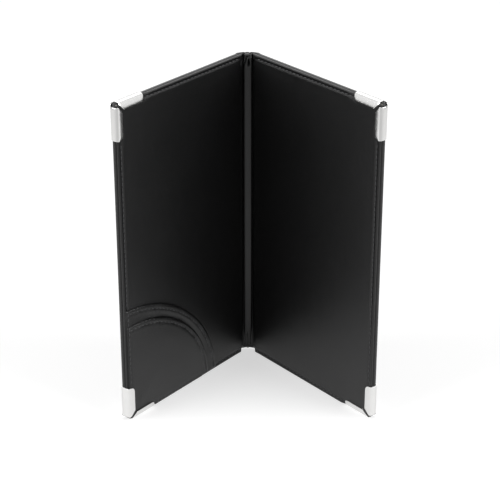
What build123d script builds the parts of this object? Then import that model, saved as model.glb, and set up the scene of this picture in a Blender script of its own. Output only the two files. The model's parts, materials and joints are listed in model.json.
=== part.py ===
from build123d import *

import math
import os

# A folding cover for a restaurant bill or menu, in black leatherette with four metal corners.
# It stands on its lower edge, open like a book, with the spine at the back.
# X runs from the left panel to the right one, Y from the open side to the spine, Z up.
# The origin is the centre of the footprint. Lengths are in millimetres, angles in degrees.

# Panels
panel_height = 228.0
panel_length = 125.0            # from the fold line to the free edge
tip_radius = 4.0                # rounding of the outer corners, seen square to the panel
rest_half_angle = 39.0          # each panel's angle from the closed position, as it stands

# Layers of a panel, from the outside in
cover_skin = 0.9
foam_thickness = 1.5
board_thickness = 1.8
turn_in_thickness = 0.5
turn_in_width = 12.0
card_thickness = 0.8
lining_skin = 0.5
core_clearance = 0.3            # pad, board and card to the leatherette wrapped round them

# Rounded edges
padded_edge_radius = 1.8        # outer face to edge
seam_bevel = 0.4                # on both sides of the seam between cover and lining
lining_edge_radius = 0.8        # inner face to edge

# Spine
fold_spacing = 15.0             # between the two fold lines
fold_gutter = 2.6               # bare skin from the fold line to the board
fold_bead_radius = 0.75         # rolled crease that each panel turns about
fold_clearance = 0.05
spine_crown = 0.7               # how far the back of the spine bows out
stiffener_thickness = 0.8
stiffener_inset = 1.6           # from the fold line
spine_lining_skin = 0.85
spine_lining_inset = 1.9        # from the fold line
tuck_width = 3.0                # slack of the lining, gathered along the middle of the spine
tuck_depth = 2.3

# Card pockets on the left panel: quarter-round flaps, measured from the outer lower corner
rear_pocket_width = 92.5
rear_pocket_height = 83.0
rear_pocket_radius = 95.0
pocket_step_across = 9.5        # how much smaller the front pocket is
pocket_step_up = 12.5
front_pocket_radius = 76.0
flap_skin = 0.45
hem_thickness = 0.2
pocket_mouth = 0.15             # slot under the curved hem, where a card goes in
hem_width = 6.0
flap_margin = 5.0               # sewn margin along the panel's edges
flap_inset = 0.9                # from the panel's edges

# Stitching
stitch_pitch = 3.6
stitch_length = 2.7
stitch_width = 0.7
stitch_height = 0.3
edge_stitch_inset = 2.5
pocket_stitch_inset = 3.0
stitch_end_gap = 2.0            # from a metal corner, or from the end of a row
crossing_gap = 0.6              # between a pocket's stitches and the row that they run up to

# Metal corners
metal_thickness = 0.5
corner_leg = 25.0
lip_width = 4.2
bend_radius = 1.0               # outside the fold of the metal
lip_end_radius = 3.4
corner_slot = 1.3               # open mitre at the tip
back_plate_foot = 2.2           # width of the back plate at the end of each leg

# Places worked out from the sizes. u runs from the fold line to the free edge, v from the outer
# face inwards with the fold line at 0, and z up from the surface that the cover stands on.
v_outer = -cover_skin / 2
v_pad = v_outer + cover_skin
v_board = v_pad + foam_thickness
v_turn_in = v_board + board_thickness
v_seam = v_turn_in + turn_in_thickness
v_card_top = v_seam + card_thickness
v_inner = v_card_top + lining_skin
panel_thickness = v_inner - v_outer
core_start = fold_gutter + lining_skin
z_low = metal_thickness
z_high = z_low + panel_height
flap_thickness = pocket_mouth + hem_thickness + flap_skin


def block(u0, u1, v0, v1, z0, z1):
    """A box from its lowest to its highest corner, in the panel's own axes."""
    return Pos((u0 + u1) / 2, (v0 + v1) / 2, (z0 + z1) / 2) * Box(u1 - u0, v1 - v0, z1 - z0)


def plate(u0, u1, v0, v1, inset, radius):
    """A sheet over the panel, inset from its upper and lower edge, with rounded outer corners."""
    sheet = block(u0, u1, v0, v1, z_low + inset, z_high - inset)
    tips = sheet.edges().filter_by(Axis.Y).group_by(Axis.X)[-1]
    return fillet(tips, radius) if radius > 0 else sheet


def rim(sheet, inner):
    """The outline of a sheet's inner or outer face, without the side next to the spine."""
    face = sheet.faces().filter_by(Axis.Y).sort_by(Axis.Y)[-1 if inner else 0]
    return face.edges().sort_by(Axis.X)[1:]


def outer_cover():
    """Leatherette over the pad and board, turned over three edges and on to the inner side."""
    cover = plate(0, panel_length, v_outer, v_seam, 0, tip_radius)
    cover = fillet(rim(cover, inner=False), padded_edge_radius)
    cover = chamfer(rim(cover, inner=True), seam_bevel)
    cavity = plate(core_start, panel_length - cover_skin, v_pad, v_turn_in,
                   cover_skin, tip_radius - cover_skin)
    window = block(core_start, panel_length - turn_in_width, v_turn_in, v_seam,
                   z_low + turn_in_width, z_high - turn_in_width)
    gutter = block(0, core_start, v_pad, v_seam, z_low, z_high)
    socket = Pos(0, 0, (z_low + z_high) / 2) * Cylinder(fold_bead_radius + fold_clearance, panel_height)
    return cover - cavity - window - gutter - socket


def core_sheet(v0, v1, wrap):
    """A pad, board or card inside leatherette of the given thickness."""
    inset = wrap + core_clearance
    return plate(core_start + core_clearance, panel_length - inset, v0, v1, inset, tip_radius - inset)


def lining():
    """Inner leatherette with rolled edges, returned over the board's end next to the spine."""
    skin = plate(fold_gutter, panel_length, v_seam, v_inner, 0, tip_radius)
    skin = fillet(skin.faces().sort_by(Axis.Y)[-1].edges(), lining_edge_radius)
    skin = chamfer(rim(skin, inner=False), seam_bevel)
    room = plate(core_start, panel_length - lining_skin, v_seam, v_card_top,
                 lining_skin, tip_radius - lining_skin)
    end_return = block(fold_gutter, core_start, v_pad, v_seam, z_low, z_high)
    return skin - room + end_return


def arc_centre(width, height, radius):
    """Centre of the flap's curved edge, as distances from the free edge and from the lower edge."""
    half_chord = math.hypot(width, height) / 2
    drop = math.sqrt(radius ** 2 - half_chord ** 2)
    return (width / 2 - drop * height / (2 * half_chord), height / 2 - drop * width / (2 * half_chord))


def flap_region(size, v0, v1, hem, margin):
    """Quarter-round slab, drawn in from its curved edge by hem and from its straight ones by margin."""
    width, height, radius = size
    from_edge, up = arc_centre(width, height, radius)
    disc = Pos(panel_length - from_edge, (v0 + v1) / 2, z_low + up) * Rot(90, 0, 0) * Cylinder(
        radius - hem, v1 - v0)
    corner = block(panel_length - width, panel_length - flap_inset - margin, v0, v1,
                   z_low + flap_inset + margin, z_low + height + 1)
    return disc & corner


def pocket_flap(size, v0):
    """A card pocket: a skin with a turned hem on its open curved edge and sewn straight margins."""
    v1 = v0 + flap_thickness
    slab = flap_region(size, v0, v1, 0, 0)
    room = flap_region(size, v0, v1 - flap_skin, hem_width, flap_margin)
    mouth = flap_region(size, v0, v0 + pocket_mouth, -1, flap_margin)
    return slab - room - mouth


def stitch():
    """One stitch, a slanting grain of thread that lies along X with its foot at Y = 0."""
    half = stitch_length / 2
    side = stitch_width / 2
    outline = Polyline((-half, -side), (half - stitch_width, -side), (half, side), (stitch_width - half, side),
                       close=True)
    return extrude(Plane.XZ * make_face(outline), -stitch_height)


def stitch_line(start, end):
    """Places and headings of the stitches of a straight row, each as u, z and degrees."""
    length = math.dist(start, end)
    count = int((length - stitch_length) // stitch_pitch) + 1
    heading = math.degrees(math.atan2(end[1] - start[1], end[0] - start[0]))
    lead = (length - (count - 1) * stitch_pitch) / 2
    places = []
    for index in range(count):
        share = (lead + index * stitch_pitch) / length
        places.append((start[0] + share * (end[0] - start[0]), start[1] + share * (end[1] - start[1]), heading))
    return places


def stitch_arc(size):
    """Places and headings of the stitches along a pocket's curved edge."""
    width, height, radius = size
    from_edge, up = arc_centre(width, height, radius)
    row_radius = radius - pocket_stitch_inset
    clear = edge_stitch_inset + (stitch_width + stitch_length) / 2 + crossing_gap
    first = math.asin((clear - up) / row_radius)
    last = math.pi / 2 - math.asin((clear - from_edge) / row_radius)
    count = int((last - first) * row_radius // stitch_pitch)
    places = []
    for index in range(count + 1):
        angle = first + (last - first) * index / count
        u = panel_length - from_edge - row_radius * math.cos(angle)
        places.append((u, z_low + up + row_radius * math.sin(angle), 90 - math.degrees(angle)))
    return places


def edge_rows():
    """Stitches along the top, the free edge and the bottom of a panel, between the metal corners."""
    near = fold_gutter + stitch_end_gap
    far = panel_length - corner_leg - stitch_end_gap
    low = z_low + edge_stitch_inset
    high = z_high - edge_stitch_inset
    column = panel_length - edge_stitch_inset
    bottom = stitch_line((near, low), (far, low))
    top = stitch_line((near, high), (far, high))
    foot = z_low + corner_leg + stitch_end_gap
    side = stitch_line((column, foot), (column, z_low + z_high - foot))
    return bottom + side + top


def in_flap(size, u, z):
    """True where a whole stitch at u, z lies on the flap."""
    width, height, radius = size
    from_edge, up = arc_centre(width, height, radius)
    return math.dist((u, z), (panel_length - from_edge, z_low + up)) < radius - stitch_length / 2


def off_flap(size, u, z):
    """True where a whole stitch at u, z lies clear of the flap."""
    width, height, radius = size
    from_edge, up = arc_centre(width, height, radius)
    return math.dist((u, z), (panel_length - from_edge, z_low + up)) > radius + stitch_length / 2


def sewn(places, flaps):
    """Stitches set on the lining, or on the flaps where they cover it, none across a flap's edge."""
    grain = stitch()
    stitches = []
    for u, z, heading in places:
        if all(in_flap(flap, u, z) or off_flap(flap, u, z) for flap in flaps):
            layers = sum(in_flap(flap, u, z) for flap in flaps)
            stitches.append(Pos(u, v_inner + layers * flap_thickness, z) * Rot(0, -heading, 0) * grain)
    return Compound(stitches)


def metal_corner(grip):
    """Lower corner folded from sheet: a triangular back, two walls and two lips, open at the tip."""
    wall = metal_thickness
    v_front = v_outer + grip
    v_middle = v_outer + grip / 2
    u_end = panel_length - corner_leg
    z_end = z_low + corner_leg

    def body(gap, tip):
        solid = block(u_end, panel_length + gap, v_outer - gap, v_front + gap, z_low - gap, z_end)
        tip_edge = solid.edges().filter_by(Axis.Y).group_by(Axis.X)[-1].sort_by(Axis.Z)[0]
        return fillet(tip_edge, tip)

    outside = body(wall, tip_radius + wall)
    faces = outside.faces().filter_by(Axis.Y)
    bends = [edge for face in faces for edge in face.edges()
             if edge.center().X > u_end + wall and edge.center().Z < z_end - wall]
    shell = fillet(bends, bend_radius) - body(0, tip_radius)

    foot = Polyline((panel_length + wall, z_low - wall), (u_end, z_low - wall),
                    (u_end, z_low + back_plate_foot), (panel_length - back_plate_foot, z_end),
                    (panel_length + wall, z_end), close=True)
    back_keep = extrude(Plane.XZ.offset(-v_middle) * make_face(foot), grip)
    lips = Polyline((panel_length + wall, z_low - wall), (u_end, z_low - wall),
                    (u_end, z_low + lip_width), (panel_length - lip_width, z_low + lip_width),
                    (panel_length - lip_width, z_end), (panel_length + wall, z_end), close=True)
    front_keep = extrude(Plane.XZ.offset(-v_middle) * make_face(lips), -grip)
    ends = front_keep.edges().filter_by(Axis.Y)
    rounded = [edge for edge in ends
               if math.dist((edge.center().X, edge.center().Z), (u_end, z_low + lip_width)) < 0.1
               or math.dist((edge.center().X, edge.center().Z), (panel_length - lip_width, z_end)) < 0.1]
    front_keep = fillet(rounded, lip_end_radius)
    reach = lip_width * math.sqrt(2) + tip_radius
    slot = Pos(panel_length, v_outer + grip / 2 + wall, z_low) * Rot(0, 45, 0) * Box(
        2 * reach, grip + 2 * wall, corner_slot)
    return (shell & back_keep) + ((shell & front_keep) - slot)


def flipped(corner):
    """The upper corner, made from the lower one."""
    middle = Plane((0, 0, (z_low + z_high) / 2), x_dir=(1, 0, 0), z_dir=(0, 0, 1))
    return mirror(corner, about=middle)


def spine_outer_cover():
    """Bowed back of the cover, with a rolled crease along each fold line, reaching down to stand on."""
    half = fold_spacing / 2
    inner = Line((-half, v_outer), (half, v_outer))
    rise = Line((half, v_outer), (half, -v_outer))
    crown = ThreePointArc((half, -v_outer), (0, spine_crown - v_outer), (-half, -v_outer))
    fall = Line((-half, -v_outer), (-half, v_outer))
    web = extrude(make_face([inner, rise, crown, fall]), z_high)
    beads = [Pos(side * half, 0, z_high / 2) * Cylinder(fold_bead_radius, z_high) for side in (-1, 1)]
    return web + beads


def spine_stiffener():
    """Card strip between the spine's outer cover and its lining."""
    half = fold_spacing / 2 - stiffener_inset
    return block(-half, half, v_outer - stiffener_thickness, v_outer,
                 z_low + core_clearance, z_high - core_clearance)


def spine_lining():
    """Inner strip of the spine, with its slack gathered into one rounded tuck."""
    face = v_outer - stiffener_thickness
    half = fold_spacing / 2 - spine_lining_inset
    strip = block(-half, half, face - spine_lining_skin, face, z_low, z_high)
    crest = face - spine_lining_skin - tuck_depth
    tuck = block(-tuck_width / 2, tuck_width / 2, crest, face, z_low, z_high)
    tuck = fillet(tuck.edges().filter_by(Axis.Z).group_by(Axis.Y)[0], tuck_width / 2 - 0.1)
    return strip + tuck


rear_pocket = (rear_pocket_width, rear_pocket_height, rear_pocket_radius)
front_pocket = (rear_pocket_width - pocket_step_across, rear_pocket_height - pocket_step_up, front_pocket_radius)

plain_corner = metal_corner(panel_thickness)
pocket_corner = metal_corner(panel_thickness + 2 * flap_thickness)

panel = {
    "outer_cover": outer_cover(),
    "foam_pad": core_sheet(v_pad, v_board, cover_skin),
    "board": core_sheet(v_board, v_turn_in, cover_skin),
    "lining_card": core_sheet(v_seam, v_card_top, lining_skin),
    "lining": lining(),
}

left_only = {
    "left_edge_stitching": sewn(edge_rows(), [rear_pocket, front_pocket]),
    "rear_card_pocket": pocket_flap(rear_pocket, v_inner),
    "rear_pocket_stitching": sewn(stitch_arc(rear_pocket), [rear_pocket, front_pocket]),
    "front_card_pocket": pocket_flap(front_pocket, v_inner + flap_thickness),
    "front_pocket_stitching": sewn(stitch_arc(front_pocket), [rear_pocket, front_pocket]),
    "top_left_corner": flipped(plain_corner),
    "bottom_left_corner": pocket_corner,
}

right_only = {
    "right_edge_stitching": sewn(edge_rows(), []),
    "top_right_corner": flipped(plain_corner),
    "bottom_right_corner": plain_corner,
}

spine = {
    "spine_outer_cover": spine_outer_cover(),
    "spine_stiffener": spine_stiffener(),
    "spine_lining": spine_lining(),
}

# The left panel turns from its own axes to where it stands, and the right one mirrors it.
stand = Pos(-fold_spacing / 2, 0, 0) * Rot(0, 0, 270 - rest_half_angle)

nodes = dict(spine)
for name, shape in panel.items():
    nodes["left_" + name] = stand * shape
    nodes["right_" + name] = mirror(stand * shape, about=Plane.YZ)
for name, shape in left_only.items():
    nodes[name] = stand * shape
for name, shape in right_only.items():
    nodes[name] = mirror(stand * shape, about=Plane.YZ)

# The whole cover moves back until its footprint is centred on the origin.
boxes = [shape.bounding_box() for shape in nodes.values()]
centre_y = (min(box.min.Y for box in boxes) + max(box.max.Y for box in boxes)) / 2
print("fold lines at x", -fold_spacing / 2, fold_spacing / 2, "y", -centre_y)

os.makedirs("parts", exist_ok=True)
for name, shape in nodes.items():
    export_step(Pos(0, -centre_y, 0) * shape, os.path.join("parts", name + ".step"))
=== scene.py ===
import json
import logging
import math
from collections.abc import Callable, Iterator, Sequence
from contextlib import contextmanager
from dataclasses import dataclass, field
from enum import Enum
from typing import Any

import bmesh
import bpy
import numpy as np
from mathutils.geometry import delaunay_2d_cdt
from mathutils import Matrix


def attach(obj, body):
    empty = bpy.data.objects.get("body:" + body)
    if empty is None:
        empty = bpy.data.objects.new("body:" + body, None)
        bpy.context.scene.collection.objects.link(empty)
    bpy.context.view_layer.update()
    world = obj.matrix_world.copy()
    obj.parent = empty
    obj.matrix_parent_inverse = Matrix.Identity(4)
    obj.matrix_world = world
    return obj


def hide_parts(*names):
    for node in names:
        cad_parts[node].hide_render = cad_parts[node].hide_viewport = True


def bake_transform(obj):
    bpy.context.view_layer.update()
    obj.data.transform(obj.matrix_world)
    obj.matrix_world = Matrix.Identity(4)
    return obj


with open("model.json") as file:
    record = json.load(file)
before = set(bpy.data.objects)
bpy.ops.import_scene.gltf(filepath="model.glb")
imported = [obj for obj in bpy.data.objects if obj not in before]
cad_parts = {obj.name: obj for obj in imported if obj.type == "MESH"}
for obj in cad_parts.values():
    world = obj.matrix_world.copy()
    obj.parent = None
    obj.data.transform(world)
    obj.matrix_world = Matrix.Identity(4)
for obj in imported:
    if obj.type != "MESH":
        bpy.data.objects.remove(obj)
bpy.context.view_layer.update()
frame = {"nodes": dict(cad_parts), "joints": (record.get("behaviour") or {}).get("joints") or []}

LOG = logging.getLogger("bill_cover")
MM = 0.001
Array = np.ndarray
Colour = tuple[float, float, float]


class Side(Enum):
    """The two panels, with the sign of the X axis on each one's side of the spine."""

    LEFT = -1
    RIGHT = 1

    @property
    def word(self) -> str:
        """The side's name, as it stands in the names of pieces."""
        return self.name.lower()

    @property
    def body(self) -> str:
        """The body that the panel's pieces move with."""
        return self.word + "_panel"


class Level(Enum):
    """The upper and the lower end of a panel."""

    TOP = "top"
    BOTTOM = "bottom"


class Face(Enum):
    """The inner face of a panel, with the lining, and the padded outer one."""

    INNER = "inner"
    OUTER = "outer"


def smooth(x: Array | float) -> Array:
    """A soft step from 0 to 1 as x goes from 0 to 1."""
    t = np.clip(x, 0.0, 1.0)
    return t * t * (3 - 2 * t)


def bump(x: Array | float, width: float) -> Array:
    """A bell of height 1 about x = 0."""
    return np.exp(-(np.asarray(x) / width) ** 2)


@dataclass(frozen=True)
class Measures:
    """Sizes of the cover in millimetres, the same as the solids have."""

    height: float = 228.0
    length: float = 125.0
    tip_radius: float = 4.0
    fold_spacing: float = 15.0
    fold_gutter: float = 2.6
    lift: float = 0.5
    cover_skin: float = 0.9
    foam: float = 1.5
    board: float = 1.8
    turn_in: float = 0.5
    card: float = 0.8
    lining_skin: float = 0.5
    seam_drop: float = 0.6
    padded_radius: float = 2.3
    corner_leg: float = 25.0
    metal: float = 0.5
    flap: float = 0.8
    stitch_pitch: float = 3.6
    stitch_length: float = 2.7
    edge_inset: float = 2.5
    pocket_inset: float = 3.0
    end_gap: float = 2.0

    @property
    def outer(self) -> float:
        """Depth of the outer face from the fold line."""
        return -self.cover_skin / 2

    @property
    def seam(self) -> float:
        """Depth of the seam between cover and lining, a little below the card."""
        return self.outer + self.cover_skin + self.foam + self.board + self.turn_in - self.seam_drop

    @property
    def inner(self) -> float:
        """Depth of the inner face."""
        return self.seam + self.seam_drop + self.card + self.lining_skin

    @property
    def low(self) -> float:
        """Height of the panels' lower edge."""
        return self.lift

    @property
    def high(self) -> float:
        """Height of the panels' upper edge."""
        return self.lift + self.height


SIZES = Measures()


@dataclass(frozen=True)
class Stand:
    """Where a panel stands: turns its own u, v and z in millimetres into places in metres."""

    side: Side
    hinge_y: float
    half_angle: float

    @classmethod
    def of(cls, side: Side) -> "Stand":
        """The stand of one panel, from its joint.

        Args:
            side: Which panel.

        Returns:
            The stand, with the fold line and the angle that the joint gives.
        """
        joint = next(j for j in frame["joints"] if j["child"] == side.body)
        return cls(side, joint["pos_m"][1] / MM, math.radians(-joint["range_deg"][0]))

    def across(self, u: Array, v: Array) -> tuple[Array, Array]:
        """Distance from the middle plane, and distance in front of the fold lines, of a point u, v."""
        sine, cosine = math.sin(self.half_angle), math.cos(self.half_angle)
        return SIZES.fold_spacing / 2 + u * sine - v * cosine, u * cosine + v * sine

    def world(self, p: Array, q: Array, z: Array) -> Array:
        """Places in metres of points given by p from the middle plane, q in front and z up.

        Args:
            p: Distances from the middle plane, in millimetres.
            q: Distances in front of the fold lines.
            z: Heights.

        Returns:
            One row of x, y and z for each point.
        """
        return np.stack([self.side.value * np.ravel(p), self.hinge_y - np.ravel(q), np.ravel(z)], axis=1) * MM

    def place(self, u: Array, v: Array, z: Array) -> Array:
        """Places in metres of points given in the panel's own axes."""
        u, v, z = np.broadcast_arrays(np.asarray(u, float), np.asarray(v, float), np.asarray(z, float))
        p, q = self.across(u, v)
        return self.world(p, q, z)


@contextmanager
def mesh_work(mesh: bpy.types.Mesh) -> Iterator[bmesh.types.BMesh]:
    """Opens a mesh for editing and writes it back at the end."""
    work = bmesh.new()
    work.from_mesh(mesh)
    yield work
    work.to_mesh(mesh)
    work.free()


def make_object(name: str, points: Array, faces: Sequence[Sequence[int]], material: bpy.types.Material,
                sharp: float = 50.0) -> bpy.types.Object:
    """Makes a mesh object in the scene, with faces turned outwards and soft shading.

    Args:
        name: The piece's name.
        points: One row of x, y and z in metres for each corner.
        faces: Corners of each face.
        material: Its finish.
        sharp: Angle in degrees past which an edge is shaded sharp.

    Returns:
        The object.
    """
    mesh = bpy.data.meshes.new(name)
    mesh.from_pydata([tuple(row) for row in points.tolist()], [], [tuple(face) for face in faces])
    with mesh_work(mesh) as work:
        bmesh.ops.recalc_face_normals(work, faces=work.faces)
    mesh.shade_smooth()
    mesh.set_sharp_from_angle(angle=math.radians(sharp))
    mesh.materials.append(material)
    piece = bpy.data.objects.new(name, mesh)
    bpy.context.scene.collection.objects.link(piece)
    return piece


def grid_faces(rows: int, columns: int) -> list[tuple[int, int, int, int]]:
    """Four-sided faces of a grid whose points are listed row by row."""
    index = np.arange(rows * columns).reshape(rows, columns)
    quads = np.stack([index[:-1, :-1], index[:-1, 1:], index[1:, 1:], index[1:, :-1]], axis=-1)
    return [tuple(quad) for quad in quads.reshape(-1, 4).tolist()]


# Shader effects that several finishes share


def add_node(tree: bpy.types.NodeTree, kind: str, **settings: Any) -> bpy.types.Node:
    """Adds a node to a tree and sets its properties."""
    node = tree.nodes.new(kind)
    for key, value in settings.items():
        setattr(node, key, value)
    return node


def math_node(tree: bpy.types.NodeTree, operation: str, first: Any, second: Any = 0.0,
              clamp: bool = False) -> bpy.types.NodeSocket:
    """Adds a Math node.

    Args:
        tree: The tree that it goes into.
        operation: What it does.
        first: A socket or a number.
        second: A socket or a number.
        clamp: Whether the result is held between 0 and 1.

    Returns:
        Its output.
    """
    node = add_node(tree, "ShaderNodeMath", operation=operation, use_clamp=clamp)
    for socket, value in zip(node.inputs, (first, second)):
        if isinstance(value, bpy.types.NodeSocket):
            tree.links.new(value, socket)
        else:
            socket.default_value = value
    return node.outputs[0]


def ray_mask(tree: bpy.types.NodeTree, *kinds: str) -> bpy.types.NodeSocket:
    """1 for the named kinds of ray and 0 for the others, from a Light Path node."""
    path = add_node(tree, "ShaderNodeLightPath")
    mask = path.outputs[kinds[0]]
    for kind in kinds[1:]:
        mask = math_node(tree, "MAXIMUM", mask, path.outputs[kind])
    return mask


@dataclass(frozen=True)
class Socket:
    """One input or output of an effect, with the value that an input starts from."""

    name: str
    kind: str = "NodeSocketFloat"
    start: float | None = None


class Effect:
    """A shader node group under construction."""

    def __init__(self, name: str, inputs: Sequence[Socket], outputs: Sequence[Socket]) -> None:
        """Makes the empty group.

        Args:
            name: The group's name.
            inputs: Its inputs.
            outputs: Its outputs.
        """
        self.group = bpy.data.node_groups.new(name, "ShaderNodeTree")
        for socket in inputs:
            made = self.group.interface.new_socket(socket.name, in_out="INPUT", socket_type=socket.kind)
            if socket.start is not None:
                made.default_value = socket.start
        for socket in outputs:
            self.group.interface.new_socket(socket.name, in_out="OUTPUT", socket_type=socket.kind)
        self.source = self.group.nodes.new("NodeGroupInput")
        self.sink = self.group.nodes.new("NodeGroupOutput")

    def add(self, kind: str, **settings: Any) -> bpy.types.Node:
        """Adds a node with the given settings."""
        return add_node(self.group, kind, **settings)

    def join(self, start: bpy.types.NodeSocket, end: bpy.types.NodeSocket) -> None:
        """Links two sockets."""
        self.group.links.new(start, end)

    def math(self, operation: str, first: Any, second: Any = 0.0,
             clamp: bool = False) -> bpy.types.NodeSocket:
        """Adds a Math node, as math_node does."""
        return math_node(self.group, operation, first, second, clamp)


class Effects:
    """The shared effects, each built once."""

    def __init__(self) -> None:
        """Builds every effect."""
        self.pebble = self._pebble()
        self.wear = self._wear()
        self.fibre = self._fibre()

    @staticmethod
    def _pebble() -> bpy.types.NodeTree:
        """Leather grain: rounded pebbles of uneven size with fine valleys between them."""
        effect = Effect("pebble_grain", [Socket("Vector", "NodeSocketVector"), Socket("Scale", start=1400.0),
                                         Socket("Softness", start=0.35)],
                        [Socket("Height"), Socket("Valley")])
        warp = effect.add("ShaderNodeTexNoise")
        effect.join(effect.source.outputs["Vector"], warp.inputs["Vector"])
        effect.join(effect.math("MULTIPLY", effect.source.outputs["Scale"], 0.6), warp.inputs["Scale"])
        warp.inputs["Detail"].default_value = 2.0
        shift = effect.add("ShaderNodeVectorMath", operation="SCALE")
        effect.join(warp.outputs["Color"], shift.inputs[0])
        effect.join(effect.math("DIVIDE", 0.9, effect.source.outputs["Scale"]), shift.inputs["Scale"])
        moved = effect.add("ShaderNodeVectorMath", operation="ADD")
        effect.join(effect.source.outputs["Vector"], moved.inputs[0])
        effect.join(shift.outputs[0], moved.inputs[1])
        cells = effect.add("ShaderNodeTexVoronoi", feature="DISTANCE_TO_EDGE")
        effect.join(moved.outputs[0], cells.inputs["Vector"])
        effect.join(effect.source.outputs["Scale"], cells.inputs["Scale"])
        rise = effect.math("DIVIDE", cells.outputs["Distance"], effect.source.outputs["Softness"], clamp=True)
        dome = effect.math("POWER", rise, 0.55)
        fine = effect.add("ShaderNodeTexNoise")
        effect.join(effect.source.outputs["Vector"], fine.inputs["Vector"])
        effect.join(effect.math("MULTIPLY", effect.source.outputs["Scale"], 3.1), fine.inputs["Scale"])
        fine.inputs["Detail"].default_value = 3.0
        height = effect.math("MULTIPLY_ADD", fine.outputs["Fac"], 0.22)
        effect.join(dome, height.node.inputs[2])
        effect.join(height, effect.sink.inputs["Height"])
        effect.join(effect.math("SUBTRACT", 1.0, dome), effect.sink.inputs["Valley"])
        return effect.group

    @staticmethod
    def _wear() -> bpy.types.NodeTree:
        """Handling marks: broad cloudy patches crossed by faint rubbed streaks."""
        effect = Effect("handling_wear", [Socket("Vector", "NodeSocketVector"), Socket("Scale", start=20.0),
                                          Socket("Streaks", start=0.4)],
                        [Socket("Mask")])
        clouds = effect.add("ShaderNodeTexNoise")
        effect.join(effect.source.outputs["Vector"], clouds.inputs["Vector"])
        effect.join(effect.source.outputs["Scale"], clouds.inputs["Scale"])
        clouds.inputs["Detail"].default_value = 4.0
        stretch = effect.add("ShaderNodeVectorMath", operation="MULTIPLY")
        effect.join(effect.source.outputs["Vector"], stretch.inputs[0])
        stretch.inputs[1].default_value = (1.0, 1.0, 0.12)
        streaks = effect.add("ShaderNodeTexNoise")
        effect.join(stretch.outputs[0], streaks.inputs["Vector"])
        effect.join(effect.math("MULTIPLY", effect.source.outputs["Scale"], 14.0), streaks.inputs["Scale"])
        streaks.inputs["Detail"].default_value = 3.0
        lines = effect.math("MULTIPLY", effect.math("SUBTRACT", streaks.outputs["Fac"], 0.5),
                            effect.source.outputs["Streaks"])
        effect.join(effect.math("ADD", clouds.outputs["Fac"], lines, clamp=True), effect.sink.inputs["Mask"])
        return effect.group

    @staticmethod
    def _fibre() -> bpy.types.NodeTree:
        """Pressed fibres of board, card and spun thread: short dashes along one direction."""
        effect = Effect("fibres", [Socket("Vector", "NodeSocketVector"), Socket("Scale", start=900.0),
                                   Socket("Along", start=0.2)],
                        [Socket("Height"), Socket("Fleck")])
        parts = effect.add("ShaderNodeSeparateXYZ")
        effect.join(effect.source.outputs["Vector"], parts.inputs[0])
        merged = effect.add("ShaderNodeCombineXYZ")
        effect.join(parts.outputs["X"], merged.inputs["X"])
        effect.join(parts.outputs["Y"], merged.inputs["Y"])
        effect.join(effect.math("MULTIPLY", parts.outputs["Z"], effect.source.outputs["Along"]),
                    merged.inputs["Z"])
        noise = effect.add("ShaderNodeTexNoise")
        effect.join(merged.outputs[0], noise.inputs["Vector"])
        effect.join(effect.source.outputs["Scale"], noise.inputs["Scale"])
        noise.inputs["Detail"].default_value = 5.0
        noise.inputs["Roughness"].default_value = 0.7
        effect.join(noise.outputs["Fac"], effect.sink.inputs["Height"])
        fleck = effect.math("GREATER_THAN", noise.outputs["Fac"], 0.62)
        effect.join(fleck, effect.sink.inputs["Fleck"])
        return effect.group


class Finish:
    """A material under construction, with its shader and the effects placed in it."""

    def __init__(self, name: str) -> None:
        """Makes the material with an empty Principled shader."""
        self.material = bpy.data.materials.new(name)
        self.material.use_nodes = True
        self.tree = self.material.node_tree
        self.shader = self.tree.nodes["Principled BSDF"]
        self.place = add_node(self.tree, "ShaderNodeTexCoord").outputs["Object"]

    def set(self, **values: Any) -> None:
        """Sets constant values on the shader's own sockets, by name with underscores for spaces."""
        for key, value in values.items():
            self.shader.inputs[key.replace("_", " ")].default_value = value

    def effect(self, group: bpy.types.NodeTree, **values: float) -> bpy.types.Node:
        """Places a shared effect with its own values.

        Args:
            group: The effect.
            values: Its inputs by name.

        Returns:
            The group node.
        """
        node = add_node(self.tree, "ShaderNodeGroup", node_tree=group)
        self.tree.links.new(self.place, node.inputs["Vector"])
        for key, value in values.items():
            node.inputs[key].default_value = value
        return node

    def spread(self, mask: bpy.types.NodeSocket, low: float, high: float) -> bpy.types.NodeSocket:
        """A value that goes from low to high as a mask goes from 0 to 1."""
        node = add_node(self.tree, "ShaderNodeMapRange")
        self.tree.links.new(mask, node.inputs["Value"])
        node.inputs["To Min"].default_value = low
        node.inputs["To Max"].default_value = high
        return node.outputs["Result"]

    def tint(self, mask: bpy.types.NodeSocket, low: Colour, high: Colour) -> bpy.types.NodeSocket:
        """A colour that goes from low to high as a mask goes from 0 to 1."""
        node = add_node(self.tree, "ShaderNodeMix", data_type="RGBA")
        self.tree.links.new(mask, node.inputs["Factor"])
        node.inputs["A"].default_value = (*low, 1.0)
        node.inputs["B"].default_value = (*high, 1.0)
        return node.outputs["Result"]

    def feed(self, socket: bpy.types.NodeSocket, name: str) -> None:
        """Links a value to one of the shader's sockets."""
        self.tree.links.new(socket, self.shader.inputs[name])

    def relief(self, height: bpy.types.NodeSocket, distance: float, strength: float = 1.0,
               under: bpy.types.NodeSocket | None = None) -> bpy.types.NodeSocket:
        """Adds a Bump node, on top of another one where under is given.

        Args:
            height: The height that it follows, from 0 to 1.
            distance: What a height of 1 stands for, in metres.
            strength: How much of it shows.
            under: The normal of a Bump node below it.

        Returns:
            Its normal, which also feeds the shader.
        """
        node = add_node(self.tree, "ShaderNodeBump")
        node.inputs["Distance"].default_value = distance
        node.inputs["Strength"].default_value = strength
        self.tree.links.new(height, node.inputs["Height"])
        if under is not None:
            self.tree.links.new(under, node.inputs["Normal"])
        self.feed(node.outputs["Normal"], "Normal")
        return node.outputs["Normal"]


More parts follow.
